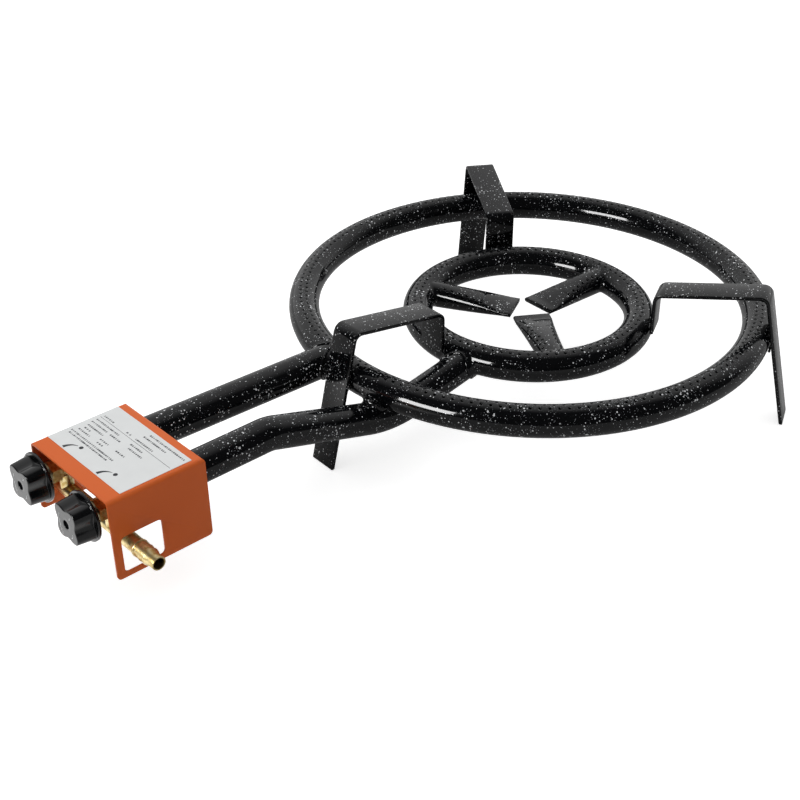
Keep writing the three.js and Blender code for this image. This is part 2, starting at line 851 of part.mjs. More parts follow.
// Plug that turns in the tap body, with a socket for the spindle and a port that faces
// sideways while the tap is off and down to the rail a quarter turn on
function tapPlug() {
  const headFront = bodyFront - plugHeadLength;
  const cone = plugCone(0, 0).slice(0, 2);
  const rear = cone[1][1];
  const body = turned([
    [0, headFront],
    [plugHeadRadius, headFront],
    [plugHeadRadius, cone[0][1]],
    ...cone,
    [0, rear],
  ], plugSides);
  const socket = prism(
    flattedSection(spindleClearance), acrossX, -headFront - socketDepth, -headFront + cutOverrun,
  );
  const port = rod(
    new THREE.Vector3(0, railY, 0),
    new THREE.Vector3(-plugFrontRadius - cutOverrun, railY, 0),
    gasPassageRadius,
    boreSides,
  );
  const bore = rodAlongY(0, 0, railY, rear + cutOverrun, gasPassageRadius, boreSides);
  return cut(body, socket, port, bore);
}

// Bonnet: the hexagon cap that keeps the plug in the body and guides the spindle
function tapBonnet() {
  const radius = bonnetAcrossFlats / Math.sqrt(3);
  return cut(
    rodAlongY(0, 0, bonnetFront, bonnetRear, radius, 6),
    rodAlongY(0, 0, bonnetFront + bonnetWall, bonnetRear + cutOverrun,
      plugHeadRadius + fitGap, plugSides),
    rodAlongY(0, 0, bonnetFront - cutOverrun, bonnetRear,
      spindleRadius + spindleClearance, plugSides),
  );
}

// Spindle between the plug and the knob
function tapSpindle() {
  const headFront = bodyFront - plugHeadLength;
  const rear = headFront + spindleInPlug;
  const front = knobFace + knobFaceWall + fitGap;
  return prism(flattedSection(0), acrossX, -rear, -front);
}

// Ring of points round the knob's lobed grip
function gripRing(y, radius, lobe) {
  return Array.from({ length: knobSides }, (_, i) => {
    const angle = 2 * Math.PI * i / knobSides;
    const reach = radius + lobe * Math.cos(knobLobeCount * (angle - knobLobeTurn));
    return new THREE.Vector3(reach * Math.cos(angle), y, reach * Math.sin(angle));
  });
}

// Knob: a round flange and a lobed grip, hollow behind round its hub
function controlKnob() {
  const flangeFront = knobBack - knobFlangeThickness;
  const skin = loft([
    gripRing(knobBack, knobFlangeRadius, 0),
    gripRing(flangeFront, knobFlangeRadius, 0),
    gripRing(flangeFront, knobGripRadius + knobDraft, knobLobe),
    gripRing(knobFace + knobEdge, knobGripRadius, knobLobe),
    gripRing(knobFace, knobGripRadius - knobEdge, knobLobe),
  ]);
  const hollowRadius = knobGripRadius - knobLobe - knobEdge - knobWall;
  const hollow = turned([
    [knobHubRadius, knobFace + knobFaceWall],
    [hollowRadius, knobFace + knobFaceWall],
    [hollowRadius, knobBack + cutOverrun],
    [knobHubRadius, knobBack + cutOverrun],
    [knobHubRadius, knobFace + knobFaceWall],
  ], ringSides);
  const socket = prism(
    flattedSection(fitGap), acrossX, -knobBack - cutOverrun, -knobFace - knobFaceWall,
  );
  const hole = rodAlongY(0, 0, knobFace - cutOverrun, knobFace + knobFaceWall + cutOverrun,
    knobHoleRadius, ringSides);
  return cut(skin, hollow, socket, hole);
}

// Gas rail: a tube across the cover under both taps, drilled up to each of them
function railEnds() {
  const plugEnd = coverLeft + sheet + railEndClearance;
  return [plugEnd + plugCapThickness, innerTubeX + railPastTap];
}

function gasRail() {
  const [left, right] = railEnds();
  const point = (x, z) => new THREE.Vector3(x, railY, z);
  const drillings = [outerTubeX, innerTubeX].map((x) => rod(
    point(x, railHeight),
    point(x, railHeight + railRadius + cutOverrun),
    gasPassageRadius,
    boreSides,
  ));
  return cut(
    rod(point(left, railHeight), point(right, railHeight), railRadius, ringSides),
    rod(point(left - cutOverrun, railHeight), point(right + cutOverrun, railHeight),
      railBoreRadius, ringSides),
    ...drillings,
  );
}

// Plug that closes the left end of the gas rail, turned about Y
function railEndPlug() {
  return turned([
    [0, 0],
    [railRadius, 0],
    [railRadius, plugCapThickness],
    [railBoreRadius - fitGap / 2, plugCapThickness],
    [railBoreRadius - fitGap / 2, plugCapThickness + plugSpigotLength],
    [0, plugCapThickness + plugSpigotLength],
  ], ringSides);
}

// Hose nozzle, turned about Y with its spigot first: shank, collar, barbs and a plain tip
function hoseNozzle() {
  const collar = nozzleSpigotLength + nozzleShankLength;
  const barbs = collar + nozzleCollarLength;
  const tip = barbs + nozzleBarbCount * nozzleBarbLength;
  const end = tip + nozzleTipLength;
  const profile = [
    [0, 0],
    [railBoreRadius - fitGap / 2, 0],
    [railBoreRadius - fitGap / 2, nozzleSpigotLength],
    [nozzleShankRadius, nozzleSpigotLength],
    [nozzleShankRadius, collar],
    [nozzleCollarRadius, collar],
    [nozzleCollarRadius, barbs],
  ];
  for (let i = 0; i < nozzleBarbCount; i += 1) {
    const start = barbs + i * nozzleBarbLength;
    profile.push([nozzleBarbRadius, start + nozzleBarbStep]);
    profile.push([nozzleTipRadius, start + nozzleBarbLength]);
  }
  profile.push(
    [nozzleTipRadius, end - nozzleTipEdge],
    [nozzleTipRadius - nozzleTipEdge, end],
    [0, end],
  );
  return cut(
    turned(profile, nozzleSides),
    rodAlongY(0, 0, -cutOverrun, end + cutOverrun, nozzlePassageRadius, nozzleSides),
    rodAlongY(0, 0, collar, end + cutOverrun, nozzleBoreRadius, nozzleSides),
  );
}

// Finishes of the real pieces
const looks = {
  enamel: { color: 0x17181a, roughness: 0.25, metalness: 0.1 },
  paint: { color: 0xd2622f, roughness: 0.4, metalness: 0 },
  brass: { color: 0xc9a227, roughness: 0.3, metalness: 1 },
  steel: { color: 0xa9acb0, roughness: 0.35, metalness: 1 },
  plastic: { color: 0x101112, roughness: 0.25, metalness: 0 },
  paper: { color: 0xe8e8e6, roughness: 0.6, metalness: 0 },
};

// Named mesh of a solid with its own material, added to a group
function place(group, name, body, look) {
  const mesh = new THREE.Mesh(surface(body), new THREE.MeshStandardMaterial(looks[look]));
  mesh.name = name;
  group.add(mesh);
  return mesh;
}

// Rings, stubs and pan supports
function ringGroup() {
  const group = new THREE.Group();
  const stubAngles = [1, 3, 5].map((sixth) => turn + sixth * Math.PI / 3);
  const outerFeeds = [feedHole(outerRoute())];
  const innerFeeds = [feedHole(innerRoute()), ...stubAngles.map(stubHole)];
  place(group, 'outer_ring',
    burnerRing(outerRingRadius, outerRingHeight, outerRingSegments, outerFeeds), 'enamel');
  place(group, 'inner_ring',
    burnerRing(innerRingRadius, innerRingHeight, innerRingSegments, innerFeeds), 'enamel');
  ['right', 'back', 'left'].forEach((side, i) => {
    place(group, `stub_tube_${side}`, stubTube(), 'enamel').rotation.z = stubAngles[i];
  });
  ['front', 'right', 'left'].forEach((side, i) => {
    const support = place(group, `pan_support_${side}`, panSupport(), 'enamel');
    support.rotation.z = turn + i * 2 * Math.PI / 3;
  });
  return group;
}

// Supply tubes with the bracket welded across them
function supplyGroup() {
  const group = new THREE.Group();
  place(group, 'outer_supply_tube',
    supplyTube(outerRoute(), outerRingRadius, outerRingHeight, outerRingSegments), 'enamel');
  place(group, 'inner_supply_tube',
    supplyTube(innerRoute(), innerRingRadius, innerRingHeight, innerRingSegments), 'enamel');
  place(group, 'cover_bracket', coverBracket(), 'enamel');
  return group;
}

// Cover with its screws and its label
function coverGroup() {
  const group = new THREE.Group();
  place(group, 'cover', cover(), 'paint');
  place(group, 'rating_label', ratingLabel(), 'paper');
  screwPlaces().forEach((x, i) => {
    const screw = place(group, `cover_screw_${['left', 'right'][i]}`, coverScrew(), 'steel');
    screw.position.set(x, coverBack, screwHeight());
  });
  return group;
}

// One tap with its bush, injector and knob, on the axis of its supply tube
function tapGroup(side, x) {
  const group = new THREE.Group();
  group.position.set(x, 0, mouthHeight);
  place(group, `${side}_tube_bush`, tubeBush(), 'steel');
  place(group, `${side}_injector`, injector(), 'brass');
  place(group, `${side}_tap_body`, tapBody(), 'brass');
  const spindleAxis = new THREE.Group();
  spindleAxis.position.z = spindleRise;
  group.add(spindleAxis);
  place(spindleAxis, `${side}_tap_plug`, tapPlug(), 'brass');
  place(spindleAxis, `${side}_tap_bonnet`, tapBonnet(), 'brass');
  place(spindleAxis, `${side}_tap_spindle`, tapSpindle(), 'steel');
  place(spindleAxis, `${side}_knob`, controlKnob(), 'plastic');
  return group;
}

// Gas rail with what is screwed into its two ends
function railGroup() {
  const group = new THREE.Group();
  const [left, right] = railEnds();
  place(group, 'gas_rail', gasRail(), 'brass');
  const plug = place(group, 'rail_end_plug', railEndPlug(), 'brass');
  plug.position.set(left - fitGap - plugCapThickness, railY, railHeight);
  plug.rotation.z = -Math.PI / 2;
  const nozzle = place(group, 'hose_nozzle', hoseNozzle(), 'brass');
  nozzle.position.set(right + fitGap - nozzleSpigotLength, railY, railHeight);
  nozzle.rotation.z = -Math.PI / 2;
  return group;
}

const burner = new THREE.Group();
burner.add(ringGroup(), supplyGroup(), coverGroup(), railGroup());
burner.add(tapGroup('left', outerTubeX), tapGroup('right', innerTubeX));

// The origin is on the floor under the middle of the whole burner
const middle = new THREE.Box3().setFromObject(burner, true).getCenter(new THREE.Vector3());
burner.position.set(-middle.x, -middle.y, 0);

const group = new THREE.Group();
group.add(burner);

export default group;
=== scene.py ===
import json
from functools import partial
from math import asin, atan2, copysign, cos, hypot, pi, radians, sin, sqrt, tan, tau

import bmesh
import bpy
from mathutils import Matrix, Vector


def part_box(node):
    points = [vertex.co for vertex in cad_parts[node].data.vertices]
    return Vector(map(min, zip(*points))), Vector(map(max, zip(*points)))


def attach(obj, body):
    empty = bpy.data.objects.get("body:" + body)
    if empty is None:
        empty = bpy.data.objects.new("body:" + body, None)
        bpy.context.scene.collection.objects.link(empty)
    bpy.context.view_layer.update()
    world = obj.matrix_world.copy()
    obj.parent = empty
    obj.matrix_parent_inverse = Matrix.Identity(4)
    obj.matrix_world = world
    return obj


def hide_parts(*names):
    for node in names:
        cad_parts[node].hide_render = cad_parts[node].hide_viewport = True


# Paella burner: enamelled rings, stubs, supply tubes and pan supports, an orange cover over two
# brass gas taps, and black knobs. Sizes are millimetres about the middle of the rings, floor at 0,
# knobs towards -Y, until a finished mesh is moved into the frame.
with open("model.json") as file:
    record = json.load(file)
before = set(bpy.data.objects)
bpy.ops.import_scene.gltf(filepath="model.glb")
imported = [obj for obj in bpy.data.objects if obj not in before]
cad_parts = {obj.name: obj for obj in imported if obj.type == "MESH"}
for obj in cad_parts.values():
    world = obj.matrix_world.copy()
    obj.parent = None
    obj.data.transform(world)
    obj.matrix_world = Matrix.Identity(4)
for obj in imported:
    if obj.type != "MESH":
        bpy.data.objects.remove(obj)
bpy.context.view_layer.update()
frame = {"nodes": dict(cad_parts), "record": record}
print("frame loaded")

millimetre = 0.001
ringLow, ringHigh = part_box("outer_ring")
ringMiddle = (ringLow + ringHigh) / 2
toFrame = Matrix.Translation((ringMiddle.x, ringMiddle.y, 0)) @ Matrix.Scale(millimetre, 4)

tube = {"radius": 12.5, "wall": 1.5, "sides": 32}
outerRing = {"ringRadius": 187.5, "height": 70, "portsPerRow": 168, "supplyX": -36.5}
innerRing = {"ringRadius": 92.5, "height": 59, "portsPerRow": 83, "supplyX": 21.5}
clearance = 0.3    # between neighbours that are welded together
frontX = (outerRing["supplyX"] + innerRing["supplyX"]) / 2    # front support, midway between the tubes
turn = asin(frontX / outerRing["ringRadius"])


# sRGB hex to linear
def colour(hexColour):
    shares = [int(hexColour[i:i + 2], 16) / 255 for i in (1, 3, 5)]
    return tuple(s / 12.92 if s <= 0.04045 else ((s + 0.055) / 1.055) ** 2.4 for s in shares) + (1.0,)


# A node with its settings. Sockets in use are set to values and hex colours, or linked from sockets
# and from the first output in use of other nodes.
def addNode(tree, kind, inputs=None, **settings):
    node = tree.nodes.new(kind)
    for name, value in settings.items():
        setattr(node, name, value)
    for key, value in (inputs or {}).items():
        if isinstance(key, int):
            socket = node.inputs[key]
        else:
            socket = next(s for s in node.inputs if s.enabled and s.name == key)
        if isinstance(value, bpy.types.Node):
            value = next(s for s in value.outputs if s.enabled)
        if isinstance(value, bpy.types.NodeSocket):
            tree.links.new(value, socket)
        else:
            socket.default_value = colour(value) if isinstance(value, str) and value[0] == "#" else value
    return node


# What adds nodes to the emptied tree of a material or world
def adderTo(owner):
    owner.use_nodes = True
    owner.node_tree.nodes.clear()
    return partial(addNode, owner.node_tree)


# New material, what adds nodes to it, and places in its object
def newMaterial(name):
    material = bpy.data.materials.new(name)
    add = adderTo(material)
    return material, add, add("ShaderNodeTexCoord").outputs["Object"]


# Ends a material in its shader, with a height pattern of so many millimetres as bump
def surfaceOf(add, inputs, height, relief):
    bump = add("ShaderNodeBump", {"Strength": 1.0, "Distance": relief * millimetre, "Height": height})
    shader = add("ShaderNodeBsdfPrincipled", {**inputs, "Normal": bump})
    add("ShaderNodeOutputMaterial", {"Surface": shader})


# Noise whose waves are about so many millimetres long
def grain(add, place, length, detail=2.0):
    return add("ShaderNodeTexNoise", {"Vector": place, "Scale": 1 / (length * millimetre), "Detail": detail})


frit = {"white": (2.4, 0.56), "faint": (1.3, 0.27), "growth": 2.6, "sharpness": 3.0}


# Round specks, one to a cell of some width at most, which vary in size and thin out in patches
def specks(add, place, cell, radius, patches):
    cells = add("ShaderNodeTexVoronoi", {"Vector": place, "Scale": 1 / (cell * millimetre)}).outputs
    draw = add("ShaderNodeSeparateColor", {"Color": cells["Color"]})
    size = add("ShaderNodeMath", {0: draw, 1: patches}, operation="MULTIPLY")
    reach = add("ShaderNodeMath", {0: size, 1: frit["growth"] * radius / cell}, operation="MULTIPLY")
    inside = add("ShaderNodeMath", {0: reach, 1: cells["Distance"]}, operation="SUBTRACT")
    return add("ShaderNodeMath", {0: inside, 1: frit["sharpness"] * cell / radius},
               operation="MULTIPLY", use_clamp=True)


# Vitreous enamel fired on steel: a black glass skin, sharp highlights, white specks of a second frit
def vitreousEnamel():
    material, add, place = newMaterial("vitreousEnamel")
    patches = add("ShaderNodeMapRange", {
        "Value": grain(add, place, 20), "From Min": 0.36, "From Max": 0.66, "To Min": 0.34, "To Max": 0.66})
    white = specks(add, place, *frit["white"], patches)
    faint = specks(add, place, *frit["faint"], patches)
    base = add("ShaderNodeMix", {"Factor": faint, "A": "#08090b", "B": "#94979b"}, data_type="RGBA")
    base = add("ShaderNodeMix", {"Factor": white, "A": base, "B": "#dfe1e3"}, data_type="RGBA")
    relief = add("ShaderNodeMath", {0: grain(add, place, 5), 1: white}, operation="ADD")
    rough = add("ShaderNodeMapRange", {"Value": grain(add, place, 9), "To Min": 0.04, "To Max": 0.11})
    surfaceOf(add, {"Base Color": base, "Roughness": rough, "IOR": 1.43}, relief, 0.025)
    return material


toolRings = {"pitch": 0.5, "bandLength": 0.32}    # of a Wave Texture whose scale is 1


# Free-cutting brass, turned: yellow, bright, with fine tool rings across the axis
def turnedBrass(axis):
    material, add, place = newMaterial("turnedBrassAlong" + axis)
    lines = add("ShaderNodeTexWave", {
        "Vector": place, "Scale": toolRings["bandLength"] / (toolRings["pitch"] * millimetre),
        "Distortion": 1.5, "Detail": 2.0}, wave_type="BANDS", bands_direction=axis).outputs["Fac"]
    dull = add("ShaderNodeMapRange", {"Value": grain(add, place, 3, 4.0), "From Min": 0.36, "From Max": 0.6})
    base = add("ShaderNodeMix", {"Factor": dull, "A": "#b89c5e", "B": "#dcca98"}, data_type="RGBA")
    rough = add("ShaderNodeMapRange", {"Value": dull, "To Min": 0.38, "To Max": 0.28})
    surfaceOf(add, {"Base Color": base, "Metallic": 1.0, "Roughness": rough}, lines, 0.005)
    return material


# Coat whose colour and relief follow noise, each given as (length, detail). Its roughness is even,
# or follows noise from one value to another.
def coated(name, colours, cloud, roughness, tooth, relief, inputs):
    material, add, place = newMaterial(name)
    base = add("ShaderNodeMix", {
        "Factor": grain(add, place, *cloud), "A": colours[0], "B": colours[1]}, data_type="RGBA")
    if isinstance(roughness, tuple):
        sheen, low, high = roughness
        roughness = add("ShaderNodeMapRange", {
            "Value": grain(add, place, *sheen), "To Min": low, "To Max": high})
    surfaceOf(add, {"Base Color": base, "Roughness": roughness, **inputs}, grain(add, place, *tooth), relief)
    return material


# Print: a thin opaque coat of ink or paint, with a little tooth
def printedInk(name, hexColour):
    light = tuple(min(1.0, share * 1.15 + 0.01) for share in colour(hexColour)[:3]) + (1.0,)
    return coated(name, (hexColour, light), (0.6,), 0.5, (0.6,), 0.004, {})


enamel = vitreousEnamel()
brassX, brassY = turnedBrass("X"), turnedBrass("Y")
# Polyester powder paint baked on sheet steel: even satin orange with a fine orange peel
paint = coated("powderPaint", ("#db662d", "#e06c33"), (40,), ((1.1,), 0.3, 0.4), (1.1,), 0.012,
               {"IOR": 1.5, "Specular IOR Level": 0.15})
# Bright zinc plate on steel: pale bluish metal, slightly cloudy
zinc = coated("zincPlate", ("#a3a7ac", "#c8cbce"), (3, 3.0), ((3, 3.0), 0.25, 0.42), (3, 3.0), 0.01,
              {"Metallic": 1.0})
# Phenolic resin, moulded: deep black, glossy, with soft wide highlights
phenolic = coated("mouldedPhenolic", ("#07080a", "#101113"), (7, 3.0), ((7, 3.0), 0.08, 0.18), (0.8,),
                  0.006, {"IOR": 1.5})
# Polyester label film: smooth white, softly glossy, with the faint waves of the glue beneath
film = coated("labelFilm", ("#dddfdf", "#e6e8e8"), (12,), 0.35, (12,), 0.05, {})
ink = printedInk("labelInk", "#24262b")
paleInk = printedInk("paleInk", "#56585c")
indexPaint = printedInk("indexPaint", "#dcdedf")
looks = {"black_enamel": enamel, "orange_paint": paint, "brass": brassY, "steel": zinc,
         "knob_plastic": phenolic, "label_film": film}
print("materials made")


def meshOf(points, faces, edges=()):
    mesh = bpy.data.meshes.new("shape")
    mesh.from_pydata([tuple(p) for p in points], edges, faces)
    return mesh


def newObject(name, data):
    made = bpy.data.objects.new(name, data)
    bpy.context.scene.collection.objects.link(made)
    return made


def reworked(mesh, work):
    body = bmesh.new()
    body.from_mesh(mesh)
    work(body)
    body.to_mesh(mesh)
    body.free()
    return mesh


# Merges doubles, drops loose points and turns the faces outwards
def cleaned(mesh):
    def work(body):
        bmesh.ops.delete(body, geom=[v for v in body.verts if not v.link_faces], context="VERTS")
        bmesh.ops.remove_doubles(body, verts=body.verts, dist=0.01)
        bmesh.ops.recalc_face_normals(body, faces=body.faces)
    return reworked(mesh, work)


# Flat faces whole again after cuts, doubles gone
def tidied(mesh):
    def work(body):
        bmesh.ops.remove_doubles(body, verts=body.verts, dist=0.005)
        bmesh.ops.dissolve_limit(body, angle_limit=radians(0.5), verts=body.verts, edges=body.edges)
        bmesh.ops.dissolve_degenerate(body, dist=0.005, edges=body.edges)
    return reworked(mesh, work)


# Several meshes in one, each with its own skin
def gathered(*meshes):
    def work(body):
        for mesh in meshes:
            body.from_mesh(mesh)
    return reworked(bpy.data.meshes.new("gathered"), work)


def smoothed(mesh, angle=40):
    mesh.shade_smooth()
    mesh.set_sharp_from_angle(angle=radians(angle))
    return mesh


# The mesh after one modifier; the named inputs of a Geometry Nodes tree get the values
def applied(mesh, kind, values=None, **settings):
    holder = newObject("holder", mesh)
    modifier = holder.modifiers.new("step", kind)
    for name, value in settings.items():
        setattr(modifier, name, value)
    if values:
        for item in modifier.node_group.interface.items_tree:
            if item.item_type == "SOCKET" and item.in_out == "INPUT" and item.name in values:
                modifier[item.identifier] = values[item.name]
    graph = bpy.context.evaluated_depsgraph_get()
    result = bpy.data.meshes.new_from_object(holder.evaluated_get(graph), depsgraph=graph)
    bpy.data.objects.remove(holder)
    return result


# Mesh joined to (UNION), kept within (INTERSECT) or cut by (DIFFERENCE) others
def combined(mesh, operation, *others):
    for other in others:
        operand = newObject("operand", other)
        mesh = applied(mesh, "BOOLEAN", operation=operation, object=operand, solver="EXACT")
        bpy.data.objects.remove(operand)
    return mesh


# Box of a frame node, in millimetres about the middle of the rings
def boxOf(name):
    return [toFrame.inverted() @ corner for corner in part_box(name)]


# From where to where a node reaches along an axis, and its middle along several
def spanOf(name, axis):
    return [getattr(corner, axis) for corner in boxOf(name)]


def middleOf(name, axes):
    return [sum(spanOf(name, axis)) / 2 for axis in axes]


# Rotation of a part that stands so many sixths of a turn from the front support
def fromFrontSupport(sixths):
    return Matrix.Rotation(turn + sixths * tau / 6, 4, "Z")


# A finished mesh becomes a piece of the frame
def addPiece(name, mesh, slot, replaced=(), material=None, body="burner"):
    mesh.transform(toFrame)
    mesh.name = name
    mesh.materials.clear()
    mesh.materials.append(material or looks[slot])
    piece = newObject(name, mesh)
    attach(piece, body)
    if replaced:
        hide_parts(*replaced)


# What adds nodes to a new Geometry Nodes tree, and the tree's named inputs
def newTree(name, sockets):
    tree = bpy.data.node_groups.new(name, "GeometryNodeTree")
    for socket, kind in {"Geometry": "Geometry", **sockets, "Material": "Material"}.items():
        tree.interface.new_socket(socket, in_out="INPUT", socket_type="NodeSocket" + kind)
    tree.interface.new_socket("Geometry", in_out="OUTPUT", socket_type="NodeSocketGeometry")
    add = partial(addNode, tree)
    return add, add("NodeGroupInput").outputs


# Ends a tree: real geometry, welded seams, smooth, with its material
def finishTree(add, geometry, given):
    real = add("GeometryNodeRealizeInstances", {"Geometry": geometry})
    welded = add("GeometryNodeMergeByDistance", {"Geometry": real, "Distance": 0.01})
    smooth = add("GeometryNodeSetShadeSmooth", {"Geometry": welded})
    look = add("GeometryNodeSetMaterial", {"Geometry": smooth, "Material": given["Material"]})
    return add("NodeGroupOutput", {"Geometry": look}).id_data


# Copies of the input round the Z axis
def roundTree():
    add, given = newTree("copiesRoundAxis", {"Copies": "Int"})
    points = add("GeometryNodePoints", {"Count": given["Copies"]})
    step = add("ShaderNodeMath", {0: tau, 1: given["Copies"]}, operation="DIVIDE")
    index = add("GeometryNodeInputIndex")
    angle = add("ShaderNodeMath", {0: index, 1: step}, operation="MULTIPLY")
    spin = add("ShaderNodeCombineXYZ", {"Z": angle})
    copies = add("GeometryNodeInstanceOnPoints", {
        "Points": points, "Instance": given["Geometry"], "Rotation": spin})
    return finishTree(add, copies, given)


# Round tube along the input line, with each corner bent to the line's own bendRadius there
def tubeTree():
    add, given = newTree("bentTube", {"Radius": "Float", "Bend Steps": "Int", "Sides": "Int"})
    line = add("GeometryNodeMeshToCurve", {"Mesh": given["Geometry"]})
    bend = add("GeometryNodeInputNamedAttribute", {"Name": "bendRadius"}, data_type="FLOAT")
    bent = add("GeometryNodeFilletCurve", {
        "Curve": line, "Radius": bend, "Count": given["Bend Steps"]}, mode="POLY")
    section = add("GeometryNodeCurvePrimitiveCircle", {
        "Resolution": given["Sides"], "Radius": given["Radius"]})
    skin = add("GeometryNodeCurveToMesh", {"Curve": bent, "Profile Curve": section, "Fill Caps": True})
    return finishTree(add, skin, given)


# Weld bead along the input line: a low round seam whose thickness ripples
def beadTree():
    add, given = newTree("weldBead", {
        "Radius": "Float", "Ripple": "Float", "Ripple Length": "Float", "Step": "Float"})
    line = add("GeometryNodeMeshToCurve", {"Mesh": given["Geometry"]})
    even = add("GeometryNodeResampleCurve", {"Curve": line, "Length": given["Step"]}, mode="LENGTH")
    place = add("GeometryNodeInputPosition")
    scale = add("ShaderNodeMath", {0: 1.0, 1: given["Ripple Length"]}, operation="DIVIDE")
    ripple = add("ShaderNodeTexNoise", {"Vector": place, "Scale": scale})
    size = add("ShaderNodeMath", {0: ripple, 1: given["Ripple"], 2: given["Radius"]},
               operation="MULTIPLY_ADD")
    section = add("GeometryNodeCurvePrimitiveCircle", {"Resolution": 10, "Radius": 1.0})
    skin = add("GeometryNodeCurveToMesh", {
        "Curve": even, "Profile Curve": section, "Scale": size, "Fill Caps": True})
    return finishTree(add, skin, given)


# Row of short printed bars along each edge of the input, whose lengths vary
def printTree():
    add, given = newTree("printedRow", {
        "Pitch": "Float", "Bar Length": "Float", "Bar Height": "Float", "Ink": "Float", "Seed": "Int"})
    line = add("GeometryNodeMeshToCurve", {"Mesh": given["Geometry"]})
    places = add("GeometryNodeCurveToPoints", {"Curve": line, "Length": given["Pitch"]}, mode="LENGTH")
    size = add("ShaderNodeCombineXYZ", {"X": given["Bar Length"], "Y": given["Bar Height"], "Z": given["Ink"]})
    bar = add("GeometryNodeMeshCube", {"Size": size})
    draw = add("FunctionNodeRandomValue", {"Seed": given["Seed"]}, data_type="FLOAT")
    stretch = add("ShaderNodeMapRange", {"Value": draw, "To Min": 0.35, "To Max": 1.0})
    scale = add("ShaderNodeCombineXYZ", {"X": stretch, "Y": 1.0, "Z": 1.0})
    bars = add("GeometryNodeInstanceOnPoints", {"Points": places, "Instance": bar, "Scale": scale})
    return finishTree(add, bars, given)


copiesRoundAxis, bentTube, weldBead, printedRow = roundTree(), tubeTree(), beadTree(), printTree()

drill = {"radius": 1.1, "lip": 0.3}


# Two skins of a tube wall, joined by ports drilled at crossings of their grid. A skin gives the
# place at a share of the length and a share of the way round.
def drilledWall(skins, columns, rows, ports):
    def corner(layer, column, row):
        return (layer * (columns + 1) + column) * rows + row % rows
    points = [skin(column / columns, row / rows)
              for skin in skins for column in range(columns + 1) for row in range(rows)]
    faces = []
    drilled = {(column, row % rows) for column, row in ports}
    for column in range(columns):
        for row in range(rows):
            quad = [(column + c, (row + r) % rows) for c, r in ((0, 0), (1, 0), (1, 1), (0, 1))]
            if not drilled.intersection(quad):
                faces += [[corner(layer, c, r) for c, r in quad] for layer in (0, 1)]
    around = [(1, 0), (1, 1), (0, 1), (-1, 1), (-1, 0), (-1, -1), (0, -1), (1, -1)]
    count, tiny = len(around), 0.001
    for column, row in drilled:
        along, share = column / columns, row / rows
        length = (skins[0](along + tiny, share) - skins[0](along, share)).length / tiny
        girth = (skins[0](along, share + tiny) - skins[0](along, share)).length / tiny
        loops = [[corner(layer, column + c, row + r) for c, r in around] for layer in (0, 1)]
        stages = ((0, drill["radius"] + drill["lip"]), (drill["lip"] / tube["wall"], drill["radius"]),
                  (1, drill["radius"]))
        for depth, radius in stages:
            loops.insert(-1, range(len(points), len(points) + count))
            for k in range(count):
                u = along + radius * cos(tau * k / count) / length
                v = share + radius * sin(tau * k / count) / girth
                points.append(skins[0](u, v).lerp(skins[1](u, v), depth))
        faces += [[outer[k], outer[(k + 1) % count], inner[(k + 1) % count], inner[k]]
                  for outer, inner in zip(loops, loops[1:]) for k in range(count)]
    return meshOf(points, faces)


# Skin of a ring over one pitch of its ports
def ringSkin(ring, radius):
    def skin(along, share):
        swing, tilt = along * tau / ring["portsPerRow"], share * tau
        reach = ring["ringRadius"] + radius * sin(tilt)
        return Vector((reach * cos(swing), reach * sin(swing), ring["height"] + radius * cos(tilt)))
    return skin


for name, ring in (("outer_ring", outerRing), ("inner_ring", innerRing)):
    skins = [ringSkin(ring, radius) for radius in (tube["radius"], tube["radius"] - tube["wall"])]
    pitch = drilledWall(skins, 4, tube["sides"], [(1, 1), (3, -1)])
    whole = applied(pitch, "NODES", {"Copies": ring["portsPerRow"], "Material": enamel},
                    node_group=copiesRoundAxis)
    addPiece("drilled_" + name, cleaned(whole), "black_enamel", [name])
    print(name, "made")

stub = {"diameter": 21.3, "lipHeight": 3.6, "lipLength": 8, "lipRadius": 11.5, "pitch": 7,
        "columnsPerPitch": 4, "shoulderRow": 2, "thinnest": 0.3}
stubLength = innerRing["ringRadius"] - stub["lipRadius"]


# Skin of a stub pointing at the front, from its squeezed lip to the ring's axis
def stubSkin(inset):
    def skin(along, share):
        opened = max(0.0, (along * stubLength - stub["lipLength"]) / (stubLength - stub["lipLength"]))
        height = stub["lipHeight"] + (stub["diameter"] - stub["lipHeight"]) * (1 - (1 - opened) ** 2)
        width = height + pi * (stub["diameter"] - height) / 2
        half = max(height / 2 - inset, stub["thinnest"])
        side = sin(share * tau)
        flat = 0 if abs(side) < 1e-6 else copysign((width - height) / 2, side)
        return Vector((half * side + flat, -stub["lipRadius"] - along * stubLength,
                       innerRing["height"] + half * cos(share * tau)))
    return skin


def stubMesh(sixths):
    perPitch = stub["columnsPerPitch"]
    columns = round(stubLength / stub["pitch"]) * perPitch
    rows = ((stub["shoulderRow"], 0), (stub["shoulderRow"] + 2, perPitch // 2))
    ports = [(column, sign * row) for row, shift in rows
             for column in range(4 * perPitch + shift, columns - 2 * perPitch, perPitch) for sign in (1, -1)]

    def closeLip(body):
        bmesh.ops.bridge_loops(body, edges=[
            e for e in body.edges
            if e.is_boundary and max(v.co.y for v in e.verts) > -stub["lipRadius"] - 0.01])
    skins = [stubSkin(0), stubSkin(tube["wall"])]
    mesh = reworked(drilledWall(skins, columns, tube["sides"], ports), closeLip)
    mesh.transform(fromFrontSupport(sixths))
    return cleaned(mesh)


for side, sixths in (("right", 1), ("back", 3), ("left", 5)):
    mesh = stubMesh(sixths)
    mesh.shade_smooth()
    addPiece("pinched_stub_" + side, mesh, "black_enamel", ["stub_tube_" + side])
print("stubs made")

